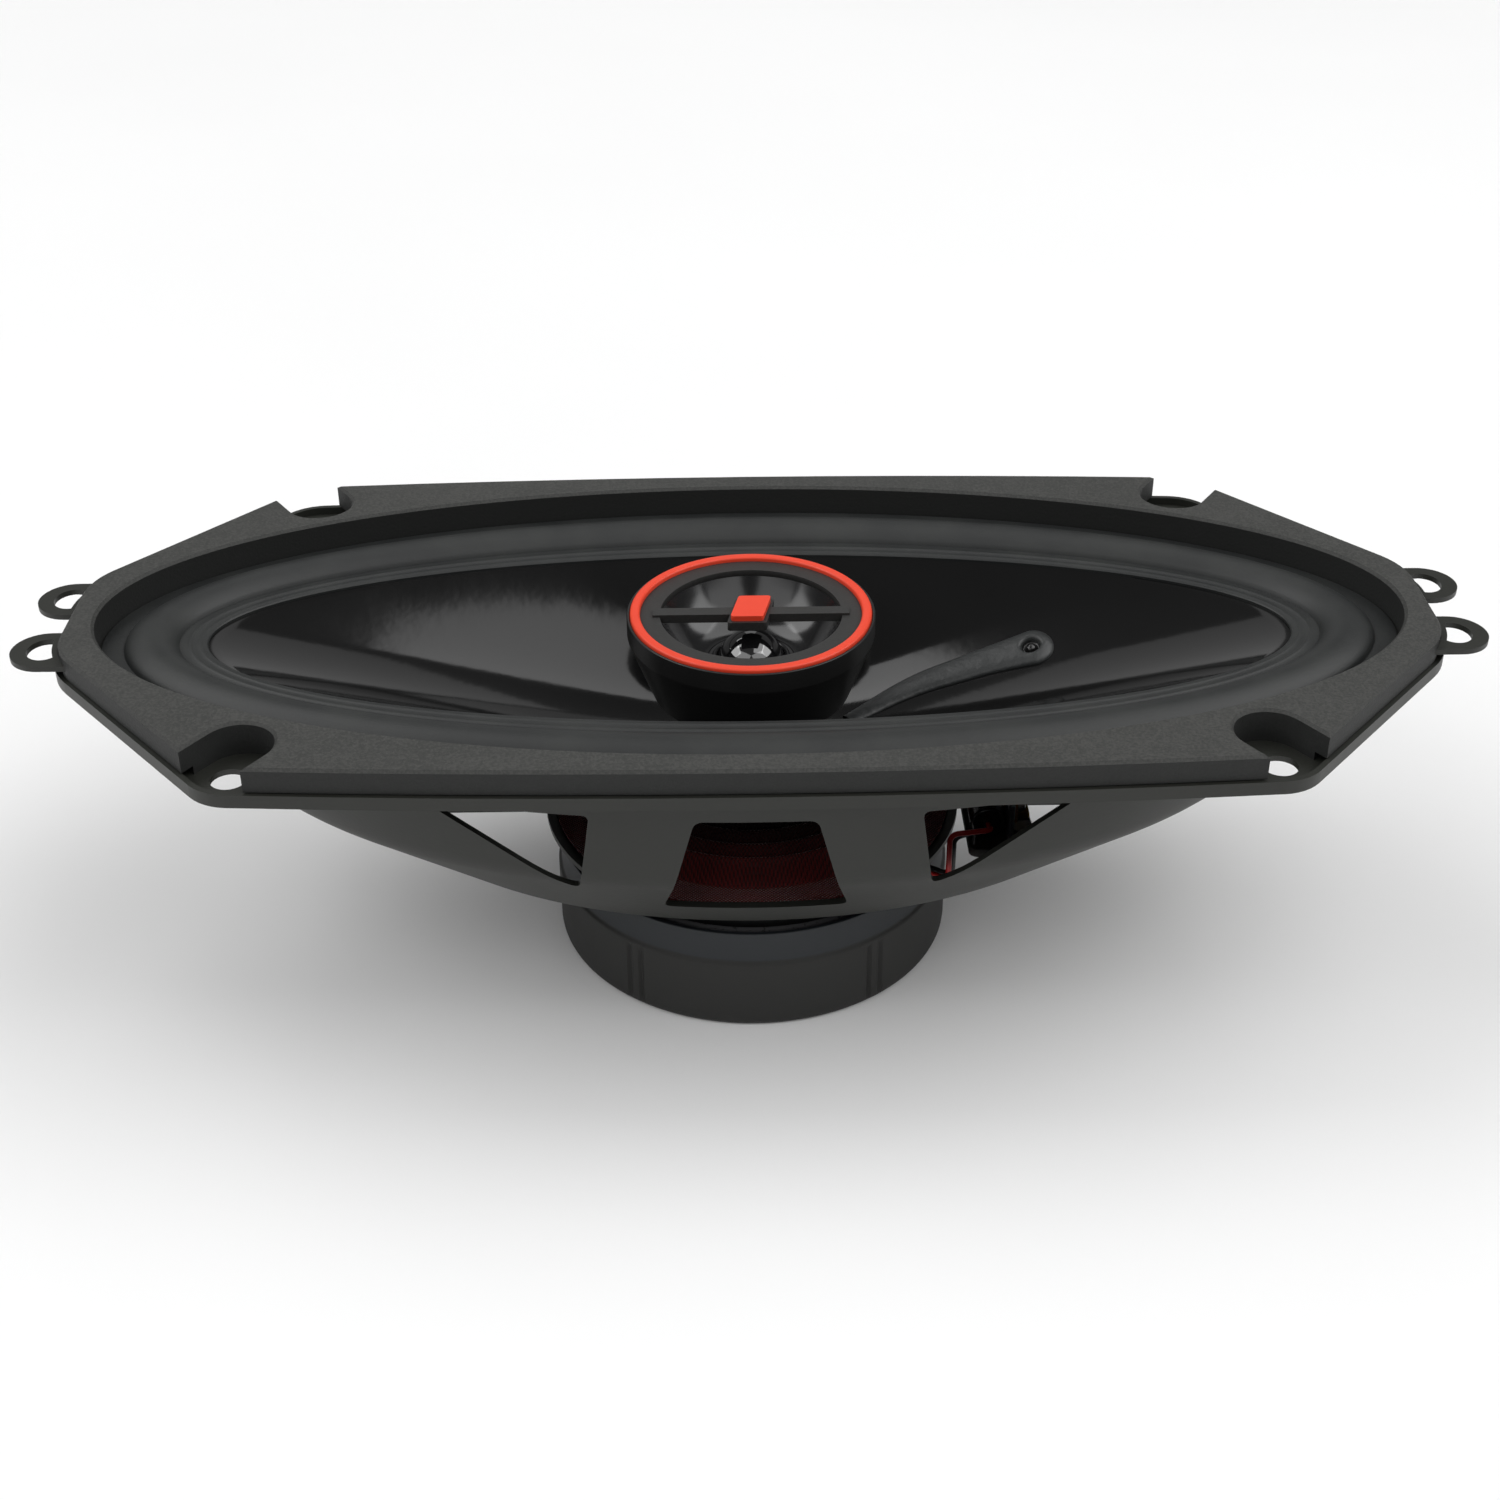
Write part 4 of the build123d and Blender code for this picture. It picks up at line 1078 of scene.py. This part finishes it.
disc = place(spider(), None, "spider_cloth", "spider")
SPIDER_FLEX = SPIDER_FOOT - COIL_SHARE_R
follow(disc, lambda p: ease((SPIDER_FOOT - hypot(p.x, p.y)) / SPIDER_FLEX))

# %% [markdown]
# The voice coil is copper wire wound on the former. A real helix would cost many more faces on a piece that
# is nearly hidden, so each turn is a little bulge in a turned profile, which reads as wire.

# %% Winding
WIRE_PITCH, WIRE_BULGE = 0.32, 0.15
FORMER_R, WIRE_R = 12.8, 13.34
TURN_PARTS = (0.1, 0.3, 0.5, 0.7, 0.9)


def winding():
    _, _, low, high = span("voice_coil_winding")
    profile = [(FORMER_R, high), (FORMER_R, low)]
    for turn_index in range(round((high - low) / WIRE_PITCH)):
        for part in TURN_PARTS:
            z = low + (turn_index + part) * WIRE_PITCH
            profile.append((WIRE_R + WIRE_BULGE * sin(pi * part), min(z, high)))
    return turned("coil_turns", profile)


place(winding(), "cone", "copper_wire", "voice_coil_winding")

# %% [markdown]
# The magnet wears a moulded rubber boot. Its side is divided into plain panels by fine upright grooves, and
# it steps in above a shoulder. Grooves in bump alone wouldn't show at the outline, and enough points all
# round would be wasteful, so the rings get extra points only beside each groove.

# %% Boot grooves
BOOT_R, BOOT_PANELS, PANEL_ANGLE = 36.6, 5, 34
GROOVE_HALF, GROOVE_DEPTH, GROOVE_FLOOR = 0.45, 0.5, 0.15
GROOVE_POINTS = (-2, -1.4, -1, -0.6, -0.2, 0.2, 0.6, 1, 1.4, 2)      # in half widths of a groove


def boot_turns():
    """Angles of a ring's points, close together at the grooves, and the grooves' own angles."""
    middles = []
    for panel in range(BOOT_PANELS):
        middles += [radians(-90 + 360 * panel / BOOT_PANELS + side * PANEL_ANGLE) for side in (-1, 1)]
    turns = [(2 * pi * i / AROUND) % (2 * pi) for i in range(AROUND)]
    for middle in middles:
        turns += [(middle + offset * GROOVE_HALF / BOOT_R) % (2 * pi) for offset in GROOVE_POINTS]
    return sorted(set(round(turn, 6) for turn in turns)), middles


def groove(turn, middles, radius):
    """Depth of the nearest groove at an angle."""
    gaps = [abs((turn - middle + pi) % (2 * pi) - pi) * radius for middle in middles]
    return GROOVE_DEPTH * (1 - ease((min(gaps) - GROOVE_FLOOR) / GROOVE_HALF))


print("points in a ring of the boot", len(boot_turns()[0]))

# %% [markdown]
# The boot itself is the same profile at every angle, less the grooves, which fade out before the shoulder
# and before the rounded foot. The slot in its floor, where the tweeter's wires come out, is punched last.

# %% Magnet boot
BOOT_BOTTOM, BOOT_TOP, BOOT_FLOOR = -58.6, -38.8, -57.3
SHOULDER = ((36.6, -45.0), (36.0, -44.5))
BOOT_TOP_R, BOOT_INNER, BOOT_OPENING = 35.7, 35.0, 29.0
BOOT_ROUNDS, BOOT_SPACING = (1.6, 0.3, 0.3, 0.25), 1.2
GROOVE_LOW, GROOVE_HIGH, GROOVE_FADE = -57.6, -45.4, 0.8
SLOT_X, SLOT_HALF, SLOT_Z, SLOT_TURN = (28.8, 35.2), 1.8, (-60, -56.6), radians(-33)


def boot_path():
    """The boot's section, from the floor's opening round the outside and back along the inside."""
    corners = [(BOOT_OPENING, BOOT_BOTTOM), (BOOT_R, BOOT_BOTTOM), *SHOULDER,
               (BOOT_TOP_R, BOOT_TOP), (BOOT_INNER, BOOT_TOP)]
    outer = rounded([(*corner, 0) for corner in corners], BOOT_ROUNDS)
    inner = [(BOOT_INNER, BOOT_TOP), (BOOT_INNER, BOOT_FLOOR), (BOOT_OPENING, BOOT_FLOOR)]
    return divided(outer, BOOT_SPACING) + [Vector((*corner, 0)) for corner in inner]


def wire_slot():
    """The slot's outline, turned to where the wires run."""
    (near, far), half = SLOT_X, SLOT_HALF
    c, s = cos(SLOT_TURN), sin(SLOT_TURN)
    corners = ((near, -half), (far, -half), (far, half), (near, half))
    return [(x * c - y * s, x * s + y * c) for x, y in corners]


def boot():
    turns, middles = boot_turns()
    rings = []
    for radius, z, _ in boot_path():
        fade = ease((z - GROOVE_LOW) / GROOVE_FADE) * ease((GROOVE_HIGH - z) / GROOVE_FADE)
        depth = fade if radius > SHOULDER[1][0] else 0.0
        cuts = [(radius - depth * groove(turn_at, middles, radius), turn_at) for turn_at in turns]
        rings.append([(cut * cos(turn_at), cut * sin(turn_at), z) for cut, turn_at in cuts])
    tool = bmesh.new()
    prism(tool, wire_slot(), *SLOT_Z)
    return punch(skin("boot_cup", rings, loop=True), tool)


place(boot(), "frame", "boot_rubber", "magnet_boot")

# %% [markdown]
# Two braided leads hang from the eyelet to the terminals and flex as the cone moves. A braid is strands that
# wind both ways round a core. A bump on one tube wouldn't show at its outline, so each lead is a bundle of
# thin helices along one smooth line, and each point's share of the cone's motion is worked out from its
# height.

# %% Line and strands
STRANDS, STRAND_R, STRAND_SIDES = 8, 0.13, 6
BRAID_R, BRAID_WEAVE, LAY = 0.3, 0.06, 3.2


def smooth_line(points):
    """Places along a smooth curve with the given control points."""
    line = bpy.data.curves.new("line", "CURVE")
    line.dimensions = "3D"
    spline = line.splines.new("NURBS")
    spline.points.add(len(points) - 1)
    for control, point in zip(spline.points, points):
        control.co = (*point, 1)
    spline.order_u = 3
    spline.use_endpoint_u = True
    spline.resolution_u = 24
    holder = bpy.data.objects.new("line", line)
    path = [v.co.copy() for v in bpy.data.meshes.new_from_object(holder).vertices]
    bpy.data.objects.remove(holder)
    return path


def line_frames(path):
    """Each place with two directions across the line and its distance along it."""
    frames, side, run = [], Vector((1, 0, 0)), 0.0
    for i, centre in enumerate(path):
        ahead = (path[min(i + 1, len(path) - 1)] - path[max(i - 1, 0)]).normalized()
        side = (side - ahead * side.dot(ahead)).normalized()
        frames.append((centre, side.copy(), ahead.cross(side), run))
        if i + 1 < len(path):
            run += (path[i + 1] - centre).length
    return frames


def strand_points(frames, strand):
    """Rings of one strand, which winds round the line."""
    way = 1 if strand % 2 else -1
    points = []
    for centre, u, v, run in frames:
        turn_at = 2 * pi * strand / STRANDS + way * 2 * pi * run / LAY
        weave = BRAID_R + BRAID_WEAVE * cos(STRANDS * turn_at / 2)
        out = u * cos(turn_at) + v * sin(turn_at)
        beside = u.cross(v).cross(out)
        for angle in (2 * pi * k / STRAND_SIDES for k in range(STRAND_SIDES)):
            points.append(centre + out * (weave + STRAND_R * cos(angle)) + beside * STRAND_R * sin(angle))
    return points


def strand_faces(rows, base):
    """The sides and both ends of one strand, whose points start at the base."""
    sides = STRAND_SIDES
    faces = []
    for i in range(rows - 1):
        low, high = base + i * sides, base + (i + 1) * sides
        faces += [(low + j, low + (j + 1) % sides, high + (j + 1) % sides, high + j) for j in range(sides)]
    last = base + sides * (rows - 1)
    return faces + [tuple(range(base, base + sides)), tuple(range(last + sides - 1, last - 1, -1))]


print("braid of", STRANDS, "strands")

# %% [markdown]
# The leads leave the eyelet on either side and hang down to their tabs. A simulated cord would find its own
# sag, but these are short, stiff and nearly hidden, so their lines were set one by one. The upper ends are
# measured from the eyelet and the lower ones from the height of the board.

# %% Braided leads
LEADS = {"tinsel_lead_positive": (-16.6, -1, 13.0), "tinsel_lead_negative": (-9.2, 1, 10.0)}
FIXED_END = 2.0                   # the first and last 2 mm move fully with one body


def braid(name, points):
    frames = line_frames(smooth_line(points))
    mesh_points, faces = [], []
    for strand in range(STRANDS):
        faces += strand_faces(len(frames), len(mesh_points))
        mesh_points += strand_points(frames, strand)
    mesh = bpy.data.meshes.new(name)
    mesh.from_pydata([point * MM for point in mesh_points], [], faces)
    return tidy(add(name, mesh))


def lead_points(tab_y, side, drop):
    x, y, _ = LEAD_ROUTE[0]
    z = cone_height(x, y)
    board = span("terminal_board")[3]
    return [
        Vector((x + 1.2 * side, y + 1.6, z - 2.2)), Vector((x + 1.0 * side, y - 1.8, z - 9)),
        Vector((x - 2.5 + side, (y + tab_y) / 2, board + drop)),
        Vector((47.3, tab_y + 1.8, board + 0.6 * drop)), Vector((47.0, tab_y, board + 2.5)),
    ]


for node, shape in LEADS.items():
    lead = place(braid(node + "_braid", lead_points(*shape)), None, "tinsel_braid", node)
    low, high = span(node)[2:]
    flex = high - low - 2 * FIXED_END
    follow(lead, lambda p, start=low + FIXED_END, flex=flex: ease((p.z - start) / flex))

# %% [markdown]
# The other parts are plates, rivets, tabs and small mouldings whose CAD shape is already right. They could be
# built again, but it would gain nothing, so they keep it and get a finish. A perfectly sharp corner catches
# no light, so the ones that can be seen also get a weld, which joins their split corners, and a narrow bevel.

# %% Finishes on the frame's own parts
BEVELS = {
    "top_plate": 0.3, "back_plate_pole": 0.3, "ferrite_magnet": 0.3, "frame_rivets": 0.3, "badge": 0.3,
    "tweeter_faceplate": 0.25, "tweeter_post_nut": 0.2, "terminal_rivets": 0.2, "terminal_board": 0.15,
    "tweeter_cup": 0.15, "terminal_positive": 0.12, "terminal_negative": 0.12,
}
WELD_REACH, BEVEL_SEGMENTS = 1e-6, 2


def soften(piece, width):
    weld = piece.modifiers.new("weld", "WELD")
    weld.merge_threshold = WELD_REACH
    bevel = piece.modifiers.new("bevel", "BEVEL")
    bevel.width, bevel.segments = width * MM, BEVEL_SEGMENTS
    bevel.limit_method, bevel.angle_limit = "ANGLE", SMOOTH_ANGLE
    bevel.harden_normals = True


SLOT_OF = {part["node"]: part["material_slot"] for part in frame["record"]["subparts"]}
for node, part in NODES.items():
    part.data.materials.clear()
    part.data.materials.append(Finish.made[SLOT_OF[node]].material)
    if node in BEVELS:
        soften(part, BEVELS[node])
print("finished", len(NODES), "nodes,", len(BEVELS), "of them bevelled")
